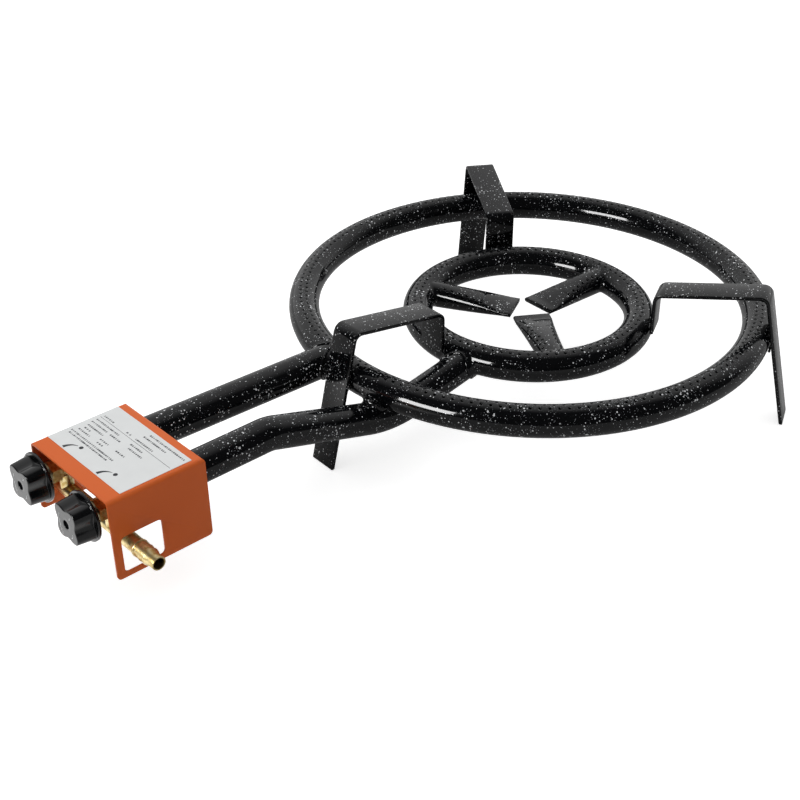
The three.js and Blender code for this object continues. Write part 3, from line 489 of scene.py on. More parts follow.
supply = {"mouthReach": 390, "mouthHeight": 75.5, "crankReach": 291, "bendRadii": (0, 34, 95, 0),
          "bendSteps": 18, "sides": 48, "feedDrop": 3, "feedRise": radians(10)}


# Side view of a point in front on a ring's middle line
def ringFront(ring, x, drop=0):
    return Vector((-sqrt(ring["ringRadius"] ** 2 - x ** 2), ring["height"] - drop))


# Direction in a side view
def rising(angle):
    return Vector((cos(angle), sin(angle)))


# Corners of a supply tube; the cranked one ducks under the outer ring until it touches it
def supplyLine(ring):
    x, mouth = ring["supplyX"], Vector((-supply["mouthReach"], supply["mouthHeight"]))
    corners = [mouth, ringFront(outerRing, x)]
    if ring is innerRing:
        bend = Vector((-supply["crankReach"], supply["mouthHeight"]))
        end = ringFront(ring, x, supply["feedDrop"])
        sight, climb, gap = ringFront(outerRing, x) - bend, rising(supply["feedRise"]), end - bend
        down = rising(atan2(sight.y, sight.x) - asin((2 * tube["radius"] + clearance) / sight.length))
        low = bend + down * ((gap.x * climb.y - gap.y * climb.x) / (down.x * climb.y - down.y * climb.x))
        corners = [mouth, bend, low, end]
    return [Vector((x, *corner)) for corner in corners]


def lineMesh(corners, closed=False):
    count = len(corners)
    return meshOf(corners, [], [(i, (i + 1) % count) for i in range(count if closed else count - 1)])


straight, cranked = supplyLine(outerRing), supplyLine(innerRing)
for name, corners in (("outer_supply_tube", straight), ("inner_supply_tube", cranked)):
    line = lineMesh(corners)
    radii = line.attributes.new("bendRadius", "FLOAT", "POINT")
    radii.data.foreach_set("value", supply["bendRadii"][:len(corners)])
    mesh = applied(line, "NODES", {"Radius": tube["radius"], "Bend Steps": supply["bendSteps"],
                                   "Sides": supply["sides"], "Material": enamel}, node_group=bentTube)
    addPiece("smooth_" + name, smoothed(cleaned(mesh), 50), "black_enamel", [name])
print("supply tubes made")

bar = {"width": 25, "thickness": 3, "bendRadius": 5, "height": 112, "innerHeight": 98.4,
       "splay": radians(13), "legEnd": 62.5, "edge": 0.9}


# Outline through [x, y, radius] corners, rounded by arcs
def rounded(corners, steps=10):
    points = []
    for i, (x, y, radius) in enumerate(corners):
        here = Vector((x, y))
        if radius == 0:
            points.append(here)
            continue
        before = (Vector(corners[i - 1][:2]) - here).normalized()
        after = (Vector(corners[(i + 1) % len(corners)][:2]) - here).normalized()
        half = before.angle(after) / 2
        centre = here + (before + after).normalized() * radius / sin(half)
        start = here + before * radius / tan(half) - centre
        end = here + after * radius / tan(half) - centre
        sweep = start.angle_signed(end)
        points += [centre + Matrix.Rotation(-sweep * k / steps, 2) @ start for k in range(steps + 1)]
    return points


def rectangle(left, low, right, high, radius=0):
    return rounded([(left, low, radius), (right, low, radius), (right, high, radius), (left, high, radius)])


def circle(x, y, radius, sides, shift=0):
    angles = (tau * (k + shift) / sides for k in range(sides))
    return [Vector((x + radius * cos(a), y + radius * sin(a))) for a in angles]


# Faces between loops of points that follow one another
def quads(loops, sides, closedLoops=False, closedSides=True):
    return [[i * sides + k, i * sides + (k + 1) % sides, (i + 1) % loops * sides + (k + 1) % sides,
             (i + 1) % loops * sides + k]
            for i in range(loops if closedLoops else loops - 1)
            for k in range(sides if closedSides else sides - 1)]


# Places that put a drawing and its depth into the burner's axes
def fromFront(x, z, depth):
    return Vector((x, depth, z))


def fromRight(y, z, depth):
    return Vector((depth, y, z))


def fromAbove(x, y, depth):
    return Vector((x, y, depth))


def prism(outline, low, high, place=fromFront):
    count = len(outline)
    points = [place(p.x, p.y, depth) for depth in (low, high) for p in outline]
    return cleaned(meshOf(points, [list(range(count)), list(range(count, 2 * count)), *quads(2, count)]))


# Body turned from (radius, depth) points about a middle, closed at the axis or on itself
def turned(profile, middle, place=fromFront, sides=64, closed=False):
    points = [place(middle[0] + radius * sin(tau * k / sides),
                    middle[1] + radius * cos(tau * k / sides), depth)
              for radius, depth in profile for k in range(sides)]
    return cleaned(meshOf(points, quads(len(profile), sides, closed)))


def rod(radius, start, end, middle, place=fromFront, sides=64):
    return turned([(0, start), (radius, start), (radius, end), (0, end)], middle, place, sides)


# The mesh with its edges rounded over
def eased(mesh, width, segments=3, angle=30):
    return smoothed(applied(mesh, "BEVEL", width=width, segments=segments, limit_method="ANGLE",
                            angle_limit=radians(angle), harden_normals=False))


# Side view of a support, as distance from the middle of the rings and height
def supportOutline():
    lean, height, thickness = tan(bar["splay"]), bar["height"], bar["thickness"]
    thick = thickness / cos(bar["splay"])
    rise = tube["radius"] + clearance

    def legAt(z):
        return outerRing["ringRadius"] + rise / cos(bar["splay"]) + thick + (outerRing["height"] - z) * lean
    leg = innerRing["ringRadius"] + sqrt(rise ** 2 - (bar["legEnd"] - innerRing["height"]) ** 2)
    corner, innerUnder = legAt(height), leg + thickness
    slope = (height - bar["innerHeight"]) / (corner - leg)
    drop = thickness * hypot(1, slope)

    def under(distance):
        return bar["innerHeight"] - drop + (distance - leg) * slope
    outerUnder = (corner - thick + lean * (height - under(leg) + leg * slope)) / (1 + lean * slope)
    inside, outside = bar["bendRadius"], bar["bendRadius"] + thickness
    return rounded([
        (legAt(0), 0, 0), (corner, height, outside), (leg, bar["innerHeight"], outside),
        (leg, bar["legEnd"], 0), (innerUnder, bar["legEnd"], 0), (innerUnder, under(innerUnder), inside),
        (outerUnder, under(outerUnder), inside), (legAt(0) - thick, 0, 0)])


for side, sixths in (("front", 0), ("right", 2), ("left", 4)):
    mesh = prism(supportOutline(), -bar["width"] / 2, bar["width"] / 2, lambda x, y, depth: (depth, -x, y))
    mesh = eased(mesh, bar["edge"])
    mesh.transform(fromFrontSupport(sixths))
    addPiece("bent_bar_" + side, mesh, "black_enamel", ["pan_support_" + side])
print("pan supports made")

cover = {"sheet": 1.5, "bend": 2, "lean": radians(1.6), "leftDepth": 55.2, "corner": 3, "edge": 0.28,
         "notchRadius": 13.5, "notchFront": -392.8, "screwHole": 2.25}
window = {"setback": 6, "length": 31.5, "height": 28, "rise": 3.6, "corner": 3.5}
coverLow, coverHigh = boxOf("cover")
coverBend = cover["bend"] + cover["sheet"]
overrun = 2    # of a cutting body past what it cuts
screwNames = {side: "cover_screw_" + side for side in ("left", "right")}


# Outer face of the right panel, or its inner one, at a height
def rightPanel(height, inset=0):
    return coverHigh.x - inset / cos(cover["lean"]) - (height - coverLow.z) * tan(cover["lean"])


# Front view of the cover's outside, or of the room inside it
def saddleOutline(inset, radius):
    top, foot, left = coverHigh.z - inset, coverLow.z - overrun, coverLow.x + inset
    return rounded([(left, foot, 0), (rightPanel(foot, inset), foot, 0),
                    (rightPanel(top, inset), top, radius), (left, top, radius)])


# The cover is one sheet folded down at both sides and at the back, with slots at the folds' meeting,
# a window for the nozzle, and notches for the supply tubes
def coverMesh():
    front, back, top, foot = coverLow.y, coverHigh.y, coverHigh.z, coverLow.z - overrun
    sheet, middle, shoulder = cover["sheet"], (coverLow.x + coverHigh.x) / 2, coverHigh.z - coverBend

    def panel(low, start, end):
        return prism(rounded([(front, low, cover["corner"]), (back, low, cover["corner"]),
                              (back, top, coverBend), (front, top, 0)]), start, end, fromRight)

    def backCut(radius, start, middle, sides=64):
        return rod(radius, start, back + overrun, middle, sides=sides)
    sides = combined(panel(top - cover["leftDepth"], coverLow.x - overrun, middle + overrun), "UNION",
                     panel(coverLow.z, middle, coverHigh.x + overrun))
    outside = prism(saddleOutline(0, coverBend), front - overrun, back + overrun)
    room = prism(saddleOutline(sheet, cover["bend"]), front - 2 * overrun, back + 2 * overrun)
    depth = prism(rounded([(front - overrun, foot - overrun, 0), (back - sheet, foot - overrun, 0),
                           (back - sheet, top - sheet, cover["bend"]), (front - overrun, top - sheet, 0)]),
                  coverLow.x - overrun, coverHigh.x + overrun, fromRight)
    left, right = coverLow.x + coverBend, rightPanel(top) - coverBend
    slots = prism([Vector(p) for p in (
        (coverLow.x + sheet, foot), (coverLow.x + sheet, shoulder), (left, shoulder),
        (left, supply["mouthHeight"]), (right, supply["mouthHeight"]), (right, shoulder),
        (rightPanel(shoulder, sheet), shoulder), (rightPanel(foot, sheet), foot))],
                  back - 2 * sheet, back + overrun)
    low, start = coverLow.z + window["rise"], front + window["setback"]
    opening = prism(rectangle(start, low, start + window["length"], low + window["height"], window["corner"]),
                    coverHigh.x - 3 * overrun, coverHigh.x + overrun, fromRight)
    notches = [backCut(cover["notchRadius"], cover["notchFront"], (ring["supplyX"], supply["mouthHeight"]))
               for ring in (outerRing, innerRing)]
    holes = [backCut(cover["screwHole"], back - 2 * sheet, middleOf(name, "xz"), 24)
             for name in screwNames.values()]
    mesh = combined(outside, "INTERSECT", sides)
    mesh = combined(mesh, "DIFFERENCE", combined(room, "INTERSECT", depth), slots, opening, *notches, *holes)
    return eased(tidied(mesh), cover["edge"], segments=2, angle=50)


addPiece("folded_cover", coverMesh(), "orange_paint", ["cover"])
print("cover made")

screw = {"headRadius": 3.8, "headHeight": 2.6, "shankRadius": 2, "crossWidth": 1.1, "crossLength": 4.4,
         "crossDepth": 1.5, "edge": 0.5}


# Pan head screw, its head behind the back fold, with a cross recess
def screwMesh(name):
    (x, z), (front, high) = middleOf(name, "xz"), spanOf(name, "y")
    under, edge = high - screw["headHeight"], screw["edge"]
    radius, shank = screw["headRadius"], screw["shankRadius"]
    dome = [(radius * cos(a), under + edge + (screw["headHeight"] - edge) * sin(a))
            for a in (pi / 2 * k / 10 for k in range(11))]
    head = turned([(0, front), (shank, front), (shank, under), (radius, under)] + dome, (x, z), sides=48)
    length, half = screw["crossLength"] / 2, screw["crossWidth"] / 2
    cross = [prism(rectangle(x - a, z - b, x + a, z + b), high - screw["crossDepth"], high + overrun)
             for a, b in ((length, half), (half, length))]
    return smoothed(tidied(combined(head, "DIFFERENCE", *cross)), 35)


for side, name in screwNames.items():
    addPiece("cross_screw_" + side, screwMesh(name), "steel", [name])
print("screws made")

label = {"film": 0.2, "lift": 0.02, "wrap": radians(42), "ink": 0.03, "margin": 1.6, "ruleBack": 16.1,
         "ruleWidth": 0.28, "firstScale": 0.27, "scalePitch": 0.476, "barHeight": 1.35, "barLength": 1.7,
         "barPitch": 1.85, "seed": 7}
labelLow, labelHigh = boxOf("rating_label")
labelWidth = labelHigh.x - labelLow.x
inkLow = coverHigh.z + label["lift"] + label["film"]


# Film over the flat of the cover, carried round its left bend
def labelOutline():
    hub = Vector((coverLow.x + coverBend, coverHigh.z - coverBend))
    low = coverBend + label["lift"]
    high = low + label["film"]
    arc = [Vector((-sin(a), cos(a))) for a in (label["wrap"] * k / 8 for k in range(9))]
    return [Vector((labelHigh.x, hub.y + high)), *(hub + p * high for p in arc),
            *(hub + p * low for p in reversed(arc)), Vector((labelHigh.x, hub.y + low))]


# Points on a quadratic curve from start to end, drawn towards a third point
def bowed(start, pull, end, steps=16):
    start, pull, end = Vector(start), Vector(pull), Vector(end)
    return [start.lerp(pull, t).lerp(pull.lerp(end, t), t) for t in (k / steps for k in range(steps + 1))]


# Outline of a stroke along a line, whose width changes evenly from one end to the other
def strokeOutline(line, firstWidth, lastWidth):
    left, right = [], []
    for i, here in enumerate(line):
        heading = (line[min(i + 1, len(line) - 1)] - line[max(i - 1, 0)]).normalized()
        width = firstWidth + (lastWidth - firstWidth) * i / (len(line) - 1)
        across = Vector((-heading.y, heading.x)) * width / 2
        left.append(here + across)
        right.append(here - across)
    return left + right[::-1]


# Tap scale before a knob, as outlines: an arc that thickens from a dot
def tapScale(x, front):
    arc = bowed((x - 7.2, front + 1.3), (x - 6.4, front + 7.3), (x - 0.6, front + 9.2))
    return [strokeOutline(arc, 2.7, 0.3), circle(x + 2.5, front + 9.5, 1.6, 32)]


addPiece("label_on_cover", smoothed(prism(labelOutline(), labelLow.y, labelHigh.y)), "label_film",
         ["rating_label"])
ruleY = labelHigh.y - label["ruleBack"]
outlines = [rectangle(labelLow.x + label["margin"], ruleY, labelHigh.x - label["margin"],
                      ruleY + label["ruleWidth"])]
for share in (label["firstScale"], label["firstScale"] + label["scalePitch"]):
    outlines += tapScale(labelLow.x + share * labelWidth, labelLow.y)
scales = gathered(*(prism(outline, inkLow, inkLow + label["ink"], fromAbove) for outline in outlines))
addPiece("printed_scales", scales, "label_film", material=ink)

# Rows of plain bars: distance behind the rule, and each row's ends as shares of the width
rows = [(12.2, 0.52, 0.96), (8.2, 0.50, 0.78), (2.6, 0.04, 0.16), (2.6, 0.36, 0.40), (2.6, 0.48, 0.70),
        (-3.4, 0.04, 0.34), (-3.4, 0.52, 0.66), (-7.2, 0.04, 0.24), (-7.2, 0.30, 0.42), (-7.2, 0.55, 0.72),
        (-11.4, 0.06, 0.26), (-15.0, 0.08, 0.14), (-15.0, 0.30, 0.40), (-15.0, 0.52, 0.62),
        (-18.6, 0.06, 0.20), (-18.6, 0.32, 0.38), (-22.8, 0.03, 0.60), (-25.6, 0.05, 0.56)]
rowLines = [lineMesh([(labelLow.x + share * labelWidth, ruleY + y, inkLow + label["ink"] / 2)
                      for share in ends]) for y, *ends in rows]
printed = applied(gathered(*rowLines), "NODES", {
    "Pitch": label["barPitch"], "Bar Length": label["barLength"], "Bar Height": label["barHeight"],
    "Ink": label["ink"], "Seed": label["seed"], "Material": paleInk}, node_group=printedRow)
addPiece("printed_rows", printed, "label_film", material=paleInk)
print("label made")

knob = {"sides": 160, "flange": 18.2, "flangeThickness": 2.2, "flangeEdge": 0.5, "grip": 13.2, "draft": 1.2,
        "lobe": 2.3, "lobes": 4, "lobeTurn": radians(47), "faceEdge": 0.9, "rootFillet": 0.6, "hole": 3.2,
        "holeEdge": 0.35, "faceWall": 2.4, "hub": 5.4, "hollow": 8.6, "socket": 3.3, "flat": 2.5, "ink": 0.06,
        "inkDepth": 0.3}


# Quarter round from one (radius, depth) point to another, bulging towards the corner between them
def quarter(start, corner, end, steps=5):
    return [tuple(point) for point in bowed(start, corner, end, steps)]


# Rows of a knob's skin from its hole over the face, grip and flange to the hollow behind, as
# (radius, depth, share of the lobes)
def knobRows(face, back):
    grip, draft, hole, flange, socket = (knob[key] for key in ("grip", "draft", "hole", "flange", "socket"))
    edge, fillet, rimEdge, holeEdge = (
        knob[key] for key in ("faceEdge", "rootFillet", "flangeEdge", "holeEdge"))
    rim, root, floor = back - knob["flangeThickness"], grip + draft, face + knob["faceWall"]
    parts = [
        (0, [(socket, back), (socket, floor), (hole, floor)]),
        (0, quarter((hole, face + holeEdge), (hole, face), (hole + holeEdge, face), 3)),
        *((t ** 3, [(hole + (grip - edge - hole) * t, face)]) for t in (0.3, 0.55, 0.75, 0.9)),
        (1, quarter((grip - edge, face), (grip, face), (grip + 0.03, face + edge))),
        (1, [(grip + draft * t, face + edge + (rim - fillet - face - edge) * t) for t in (0.33, 0.66)]),
        (1, quarter((root, rim - fillet), (root, rim), (root + fillet, rim), 4)),
        (0, quarter((flange - rimEdge, rim), (flange, rim), (flange, rim + rimEdge), 4)),
        (0, quarter((flange, back - rimEdge), (flange, back), (flange - rimEdge, back), 4)),
        (0, [(knob["hollow"], back), (knob["hollow"], floor), (knob["hub"], floor), (knob["hub"], back)])]
    return [(radius, depth, share) for share, part in parts for radius, depth in part]


def knobMesh(x, z, face, back):
    rows, sides, points = knobRows(face, back), knob["sides"], []
    for radius, depth, share in rows:
        for angle in (tau * k / sides for k in range(sides)):
            reach = radius + share * knob["lobe"] * cos(knob["lobes"] * (angle - knob["lobeTurn"]))
            if radius == knob["socket"]:
                reach = min(reach, knob["flat"] / max(sin(angle), 0.01))
            points.append((x + reach * cos(angle), depth, z + reach * sin(angle)))
    return smoothed(cleaned(meshOf(points, quads(len(rows), sides, True))), 35)


# Index marks on a knob's face, drawn from its axis
def indexMarks(x, z, face):
    strokes = [(bowed((-7.2, 6.2), (-9.4, -1.5), (-6.0, -8.2)), 0.35, 0.75),
               (bowed((-6.0, -8.2), (-5.6, -9.6), (-6.3, -11.0), 6), 0.75, 0.4),
               (bowed((5.2, 6.6), (6.0, 7.2), (6.2, 8.4), 6), 0.5, 0.9),
               (bowed((6.8, -4.6), (7.0, -6.4), (5.6, -7.8), 8), 0.45, 0.8)]
    return gathered(*(prism([Vector((x, z)) + p for p in strokeOutline(*stroke)], face - knob["ink"],
                            face + knob["inkDepth"]) for stroke in strokes))


for side in ("left", "right"):
    (x, z), (face, back) = middleOf(side + "_knob", "xz"), spanOf(side + "_knob", "y")
    addPiece("lobed_knob_" + side, knobMesh(x, z, face, back), "knob_plastic", [side + "_knob"],
             body=side + "_control")
    addPiece("index_marks_" + side, indexMarks(x, z, face), "knob_plastic", material=indexPaint,
             body=side + "_control")
print("knobs made")

rail = {"radius": 5.5, "bore": 3.5, "edge": 0.4}
tap = {"barrel": 6.8, "outlet": 5, "outletLength": 7, "boss": 5.2, "plugHole": 5.15, "plugDepth": 16.5,
       "railClearance": 0.15, "edge": 0.35, "rib": 0.45, "groove": 0.62}
bonnet = {"acrossFlats": 15, "wall": 2.2, "headHole": 4.5, "spindleHole": 3.15, "chamfer": radians(30),
          "spare": 0.1}
nozzle = {"spigot": 6, "spigotRadius": 3.35, "shank": 17.5, "shankRadius": 5.8, "ridge": 1.4,
          "ridgeRadius": 6.5, "ridgeEnd": 5.9, "barbs": 3, "barbLength": 5,
          "barb": ((5.6, -0.1), (6.1, 0.25), (6.35, 0.5), (6.3, 0.9)), "tip": 5.5, "tipRadius": 5.1,
          "edge": 0.35, "bore": 4.1, "boreEdge": 0.2, "passage": 2.4}
railPlace = middleOf("gas_rail", "yz")


# Gas rail: a brass tube with eased ends
def railMesh():
    low, high = spanOf("gas_rail", "x")
    r, bore, edge = rail["radius"], rail["bore"], rail["edge"]
    return smoothed(turned([(bore, low), (r - edge, low), (r, low + edge), (r, high - edge), (r - edge, high),
                            (bore, high)], railPlace, fromRight, closed=True))


# Tap body: a turned barrel with a groove, an outlet low at the back, and a boss down to the rail
def tapMesh(name):
    low, high = boxOf(name)
    x, axis, r = (low.x + high.x) / 2, high.z - tap["barrel"], tap["barrel"]
    edge, groove, waist = tap["edge"], low.y + tap["groove"] * (high.y - low.y), r - tap["rib"]
    rear = high.y - tap["outletLength"] / 2
    barrel = turned([(0, low.y), (r - edge, low.y), (r, low.y + edge), (r, groove), (waist, groove + edge),
                     (waist, groove + 3 * edge), (r, groove + 4 * edge), (r, rear - edge), (r - edge, rear),
                     (0, rear)], (x, axis), sides=72)
    outlet = rod(tap["outlet"], high.y - tap["outletLength"], high.y, (x, supply["mouthHeight"]))
    boss = rod(tap["boss"], railPlace[1], axis, (x, railPlace[0]), fromAbove)
    bore = rod(rail["radius"] + tap["railClearance"], x - 4 * overrun, x + 4 * overrun, railPlace, fromRight)
    plugRoom = rod(tap["plugHole"], low.y - overrun, low.y + tap["plugDepth"], (x, axis))
    body = combined(barrel, "UNION", outlet, boss)
    return smoothed(tidied(combined(body, "DIFFERENCE", bore, plugRoom)), 30)


# Bonnet: a hexagon whose corners are turned off at both ends
def bonnetMesh(name):
    middle, (low, high) = middleOf(name, "xz"), spanOf(name, "y")
    corner, flat = bonnet["acrossFlats"] / sqrt(3), bonnet["acrossFlats"] / 2
    drop, wide = (corner - flat) * tan(bonnet["chamfer"]), corner + bonnet["spare"]
    hexagon = prism(circle(*middle, corner, 6, 0.5), low, high)
    cone = turned([(0, low), (flat, low), (wide, low + drop), (wide, high - drop), (flat, high), (0, high)],
                  middle, sides=96)
    head = rod(bonnet["headHole"], low + bonnet["wall"], high + overrun, middle)
    hole = rod(bonnet["spindleHole"], low - overrun, high, middle)
    return smoothed(tidied(combined(combined(hexagon, "INTERSECT", cone), "DIFFERENCE", head, hole)), 25)


# Hose nozzle: shank, ridge, sawtooth barbs and a thin-walled tip
def nozzleMesh():
    low, high = spanOf("hose_nozzle", "x")
    shank, edge, lip = low + nozzle["spigot"], nozzle["edge"], nozzle["boreEdge"]
    ridge, tip = shank + nozzle["shank"], high - nozzle["tip"]
    crest, end = ridge + nozzle["ridge"] / 2, ridge + nozzle["ridge"]
    spigotRadius, shankRadius, ridgeRadius, tipRadius, bore, passage = (
        nozzle[key] for key in ("spigotRadius", "shankRadius", "ridgeRadius", "tipRadius", "bore", "passage"))
    profile = [(passage, low), (spigotRadius, low), (spigotRadius, shank), (shankRadius - edge, shank),
               (shankRadius, shank + edge), (shankRadius, ridge)]
    profile += quarter((shankRadius, ridge), (ridgeRadius, ridge), (ridgeRadius, crest), 3)
    profile += quarter((ridgeRadius, crest), (ridgeRadius, end), (nozzle["ridgeEnd"], end + edge), 3)
    for k in range(nozzle["barbs"], 0, -1):
        profile += [(radius, tip - k * nozzle["barbLength"] + rise) for radius, rise in nozzle["barb"]]
    profile += [(tipRadius, tip), (tipRadius, high - edge), (tipRadius - edge * 0.3, high - edge * 0.3),
                (tipRadius - edge, high), (bore + lip, high), (bore, high - lip), (bore, ridge),
                (passage, ridge - 1)]
    return smoothed(turned(profile, middleOf("hose_nozzle", "yz"), fromRight, 72, True), 30)


addPiece("smooth_gas_rail", railMesh(), "brass", ["gas_rail"], brassX)
addPiece("barbed_nozzle", nozzleMesh(), "brass", ["hose_nozzle"], brassX)
for side in ("left", "right"):
    addPiece("turned_tap_" + side, tapMesh(side + "_tap_body"), "brass", [side + "_tap_body"])
    addPiece("chamfered_bonnet_" + side, bonnetMesh(side + "_tap_bonnet"), "brass", [side + "_tap_bonnet"])
print("taps, rail and nozzle made")

fillet = {"tubeRadius": 6.5, "crossingRadius": 2.6, "stubRadius": 4, "stubSkin": 10.6, "points": 96,
          "steps": 7, "overlap": 0.02}
bead = {"radius": 1.1, "core": 0.45, "ripple": 1.1, "rippleLength": 3.5, "step": 1.0, "inset": 3.5,
        "seam": 1.4, "outerRises": (6.5, -6.5), "innerRises": (7.5,), "depth": 0.45}


# Points nearest to a place: on a ring's middle line, and on the line through a start
def ringPoint(ring, place):
    return Vector((place.x, place.y, 0)).normalized() * ring["ringRadius"] + Vector((0, 0, ring["height"]))


def linePoint(start, heading, place):
    return start + heading * (place - start).dot(heading)


# Where a growing value passes zero
def crossing(low, high, value):
    for _ in range(24):
        middle = (low + high) / 2
        low, high = (low, middle) if value(middle) > 0 else (middle, high)
    return low


# Directions all round, in the plane of two others
def wheel(first, second):
    angles = (tau * k / fillet["points"] for k in range(fillet["points"]))
    return [first * cos(a) + second * sin(a) for a in angles]


# Stops of a ball that rolls between two skins: its places, each with the ways to the skins
def stopsOf(balls, start, heading, ring):
    return [(ball, (linePoint(start, heading, ball) - ball).normalized(),
             (ringPoint(ring, ball) - ball).normalized()) for ball in balls]


# Hollow skin that the ball leaves
def hollowOf(stops, ballRadius):
    steps, reach = fillet["steps"], ballRadius + fillet["overlap"]
    points = [ball + first.slerp(second, i / steps) * reach
              for ball, first, second in stops for i in range(steps + 1)]
    return meshOf(points, [face[::-1] for face in quads(len(stops), steps + 1, True, False)])


# Stops of the ball where a straight tube ends in a ring
def jointStops(start, end, skinRadius, ring, ballRadius):
    heading, balls = (end - start).normalized(), []
    side = heading.cross(Vector((0, 0, 1))).normalized()
    for away in wheel(side.cross(heading), side):
        def ballAt(share):
            return start.lerp(end, share) + away * (skinRadius + ballRadius)

        def bite(share):
            return tube["radius"] + ballRadius - (ballAt(share) - ringPoint(ring, ballAt(share))).length
        balls.append(ballAt(crossing(0.0, 1.0, bite)))
    return stopsOf(balls, start, heading, ring)


# Stops of the ball where the cranked tube passes under the outer ring and touches it
def crossingStops(ballRadius):
    bend, heading, balls = cranked[1], (cranked[2] - cranked[1]).normalized(), []
    over = ringPoint(outerRing, Vector((innerRing["supplyX"], *ringFront(outerRing, innerRing["supplyX"]))))
    touch = (over + linePoint(bend, heading, over)) / 2
    normal = (over - touch).normalized()
    for away in wheel(heading, normal.cross(heading)):
        def toLine(place):
            return (place - linePoint(bend, heading, place)).length

        def ballAt(reach):
            def lean(rise):
                place = touch + away * reach + normal * rise
                return toLine(place) - (place - ringPoint(outerRing, place)).length
            return touch + away * reach + normal * crossing(-tube["radius"], tube["radius"], lean)

        def room(reach):
            return toLine(ballAt(reach)) - tube["radius"] - ballRadius
        balls.append(ballAt(crossing(0.0, 3 * tube["radius"], room)))
    return stopsOf(balls, bend, heading, outerRing)


def beadMesh(line, closed, radius):
    return applied(lineMesh(line, closed), "NODES", {
        "Radius": radius * bead["core"], "Ripple": radius * bead["ripple"], "Step": bead["step"],
        "Ripple Length": bead["rippleLength"], "Material": enamel}, node_group=weldBead)


# Fused welds of the tubes and stubs, each tube's with a rippled seam at its tube side
def tubeFillets():
    ball = fillet["crossingRadius"]
    meshes = [hollowOf(crossingStops(ball), ball)]
    ball = fillet["tubeRadius"]
    for line, ring in ((straight, outerRing), (cranked, innerRing)):
        stops = jointStops(*line[-2:], tube["radius"], ring, ball)
        meshes += [hollowOf(stops, ball),
                   beadMesh([place + way * ball for place, way, _ in stops], True, bead["seam"])]
    ball = fillet["stubRadius"]
    for sixths in (1, 3, 5):
        start, end = (fromFrontSupport(sixths) @ Vector((0, -reach, innerRing["height"]))
                      for reach in (stub["lipRadius"] * 3, innerRing["ringRadius"]))
        meshes.append(hollowOf(jointStops(start, end, fillet["stubSkin"], innerRing, ball), ball))
    return meshes


# Beads in the grooves where the supports' legs lean on the rings
def supportBeads():
    reach, half, meshes = tube["radius"] + clearance, bar["width"] / 2 - bead["inset"], []
    for sixths in (0, 2, 4):
        for ring, rises, splay in ((outerRing, bead["outerRises"], bar["splay"]),
                                   (innerRing, bead["innerRises"], 0)):
            for rise in rises:
                across = sqrt(reach ** 2 - rise ** 2)
                lift = (reach - across) * bead["depth"] - rise * tan(splay) / 2
                distance = ring["ringRadius"] + across + lift
                line = [fromFrontSupport(sixths) @ Vector((x, -distance, ring["height"] + rise))
                        for x in (-half, 0, half)]
                meshes.append(beadMesh(line, False, bead["radius"]))
    return meshes


addPiece("weld_fillets", smoothed(gathered(*tubeFillets()), 80), "black_enamel")
addPiece("weld_beads", smoothed(gathered(*supportBeads()), 60), "black_enamel")
print("welds made")

for node in frame["nodes"].values():
    slotName = next(s["material_slot"] for s in frame["record"]["subparts"] if s["node"] == node.name)
    node.data.materials.clear()
    node.data.materials.append(looks[slotName])
for name in ("gas_rail", "rail_end_plug", "hose_nozzle"):
    frame["nodes"][name].data.materials[0] = brassX
print("frame nodes dressed")

studio = {"domeStrength": 1.5, "domeTowards": (-0.45, 0.25, 0.86), "domeSpan": (0.1, 1.0), "farWall": 0.74,
          "nearWall": 0.05, "wallTowards": (-0.72, 0.66, 0.2), "wallSpan": (0.15, 0.62), "floorHalf": 6,
          "floorGlow": 0.66, "mirrorShare": 0.58, "poolMiddle": (-0.09, -0.39, 0), "poolRadius": 0.1,
          "poolEnd": 0.24, "poolGlow": 1.1}
strip = {"azimuth": 180, "rise": 20, "distance": 3, "width": 1.3, "height": 1.0, "radiance": 23}
wide = {"azimuth": 190, "rise": 38, "distance": 3, "width": 1.8, "height": 1.4, "radiance": 1.6}


# Direction from degrees round the burner, clockwise from the back, and degrees of rise
def headingOf(azimuth, rise):
    azimuth, rise = radians(azimuth), radians(rise)
    return Vector((sin(azimuth) * cos(rise), cos(azimuth) * cos(rise), sin(rise)))


# Floor: white for the camera and matt for light, so that it keeps the shadows. Reflections see it
# darker, with a pool of light before the knobs.
def studioFloor():
    material, add, place = newMaterial("studioFloor")
    path = add("ShaderNodeLightPath").outputs
    reach = add("ShaderNodeVectorMath", {0: place, 1: studio["poolMiddle"]}, operation="DISTANCE")
    pool = add("ShaderNodeMapRange", {
        "Value": reach, "From Min": studio["poolRadius"], "From Max": studio["poolEnd"],
        "To Min": studio["poolGlow"], "To Max": 0.0})
    shine = add("ShaderNodeMath", {0: path["Is Glossy Ray"], 1: pool}, operation="MULTIPLY")
    strength = add("ShaderNodeMix", {"Factor": path["Is Camera Ray"], "A": shine, "B": studio["floorGlow"]})
    share = add("ShaderNodeMix", {"Factor": path["Is Glossy Ray"], "A": 1.0, "B": studio["mirrorShare"]})
    shade = add("ShaderNodeMix", {"Factor": share, "A": "#000000", "B": "#e4e4e4"}, data_type="RGBA")
    matt = add("ShaderNodeBsdfDiffuse", {"Color": shade})
    glow = add("ShaderNodeEmission", {"Color": "#ffffff", "Strength": strength})
    both = add("ShaderNodeAddShader", {0: matt, 1: glow})
    add("ShaderNodeOutputMaterial", {"Surface": both})
    half = studio["floorHalf"]
    floor = newObject("floor", meshOf([(-half, -half, 0), (half, -half, 0), (half, half, 0), (-half, half, 0)],
                                      [[0, 1, 2, 3]]))
    floor.data.materials.append(material)


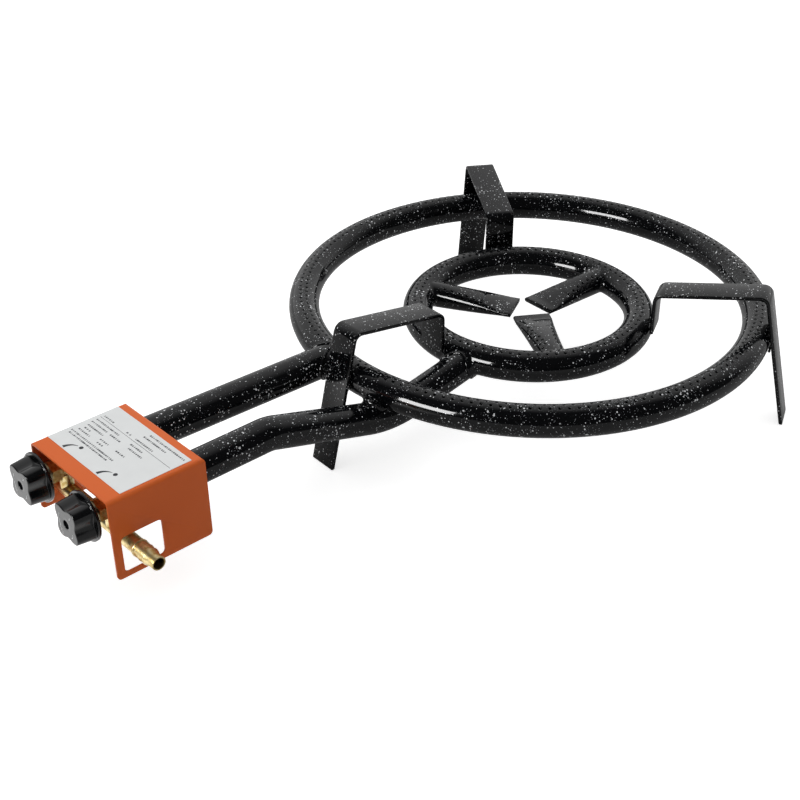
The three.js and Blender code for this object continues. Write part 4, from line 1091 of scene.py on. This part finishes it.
# Value that goes from low to high as a direction turns towards a side
def towards(add, direction, side, span, low, high):
    dot = add("ShaderNodeVectorMath", {0: direction, 1: Vector(side).normalized()}, operation="DOT_PRODUCT")
    return add("ShaderNodeMapRange", {
        "Value": dot, "From Min": span[0], "From Max": span[1], "To Min": low, "To Max": high})


# Surroundings: white to the camera, a soft dome of light from the back left, and in reflections a
# pale wall on the far side and a dark room behind the camera
def studioWorld():
    world = bpy.data.worlds.new("studio")
    add = adderTo(world)
    path = add("ShaderNodeLightPath").outputs
    direction = add("ShaderNodeTexCoord").outputs["Generated"]
    dome = towards(add, direction, studio["domeTowards"], studio["domeSpan"], 0.0, studio["domeStrength"])
    walls = towards(add, direction, studio["wallTowards"], studio["wallSpan"],
                    studio["nearWall"], studio["farWall"])
    light = add("ShaderNodeMix", {"Factor": path["Is Glossy Ray"], "A": dome, "B": walls})
    strength = add("ShaderNodeMix", {"Factor": path["Is Camera Ray"], "A": light, "B": 1.0})
    sky = add("ShaderNodeBackground", {"Color": "#ffffff", "Strength": strength})
    add("ShaderNodeOutputWorld", {"Surface": sky})
    bpy.context.scene.world = world


# Softbox that faces the burner, for gloss or for matt light alone
def softbox(name, box, gloss):
    lamp = bpy.data.lights.new(name, "AREA")
    lamp.shape, lamp.size, lamp.size_y = "RECTANGLE", box["width"], box["height"]
    lamp.energy = box["radiance"] * pi * box["width"] * box["height"]
    holder, heading = newObject(name, lamp), headingOf(box["azimuth"], box["rise"])
    holder.location = heading * box["distance"]
    holder.rotation_euler = heading.to_track_quat("Z", "Y").to_euler()
    holder.visible_diffuse, holder.visible_glossy = not gloss, gloss


studioFloor()
studioWorld()
softbox("stripBox", strip, True)    # long and low before the burner; its strip shows in the enamel
softbox("wideBox", wide, False)

camera = {"place": (693.07, -776.64, 624.67), "yaw": -47.68, "pitch": -32.33, "focalPixels": 1400.07,
          "framePixels": 800, "sensorWidth": 36}
lens = bpy.data.cameras.new("camera")
lens.sensor_width = camera["sensorWidth"]
lens.lens = camera["sensorWidth"] * camera["focalPixels"] / camera["framePixels"]
viewer = newObject("camera", lens)
viewer.location = toFrame @ Vector(camera["place"])
viewer.rotation_euler = headingOf(camera["yaw"], camera["pitch"]).to_track_quat("-Z", "Y").to_euler()
bpy.context.scene.camera = viewer
bpy.context.scene.view_settings.view_transform = "Standard"
print("studio set")
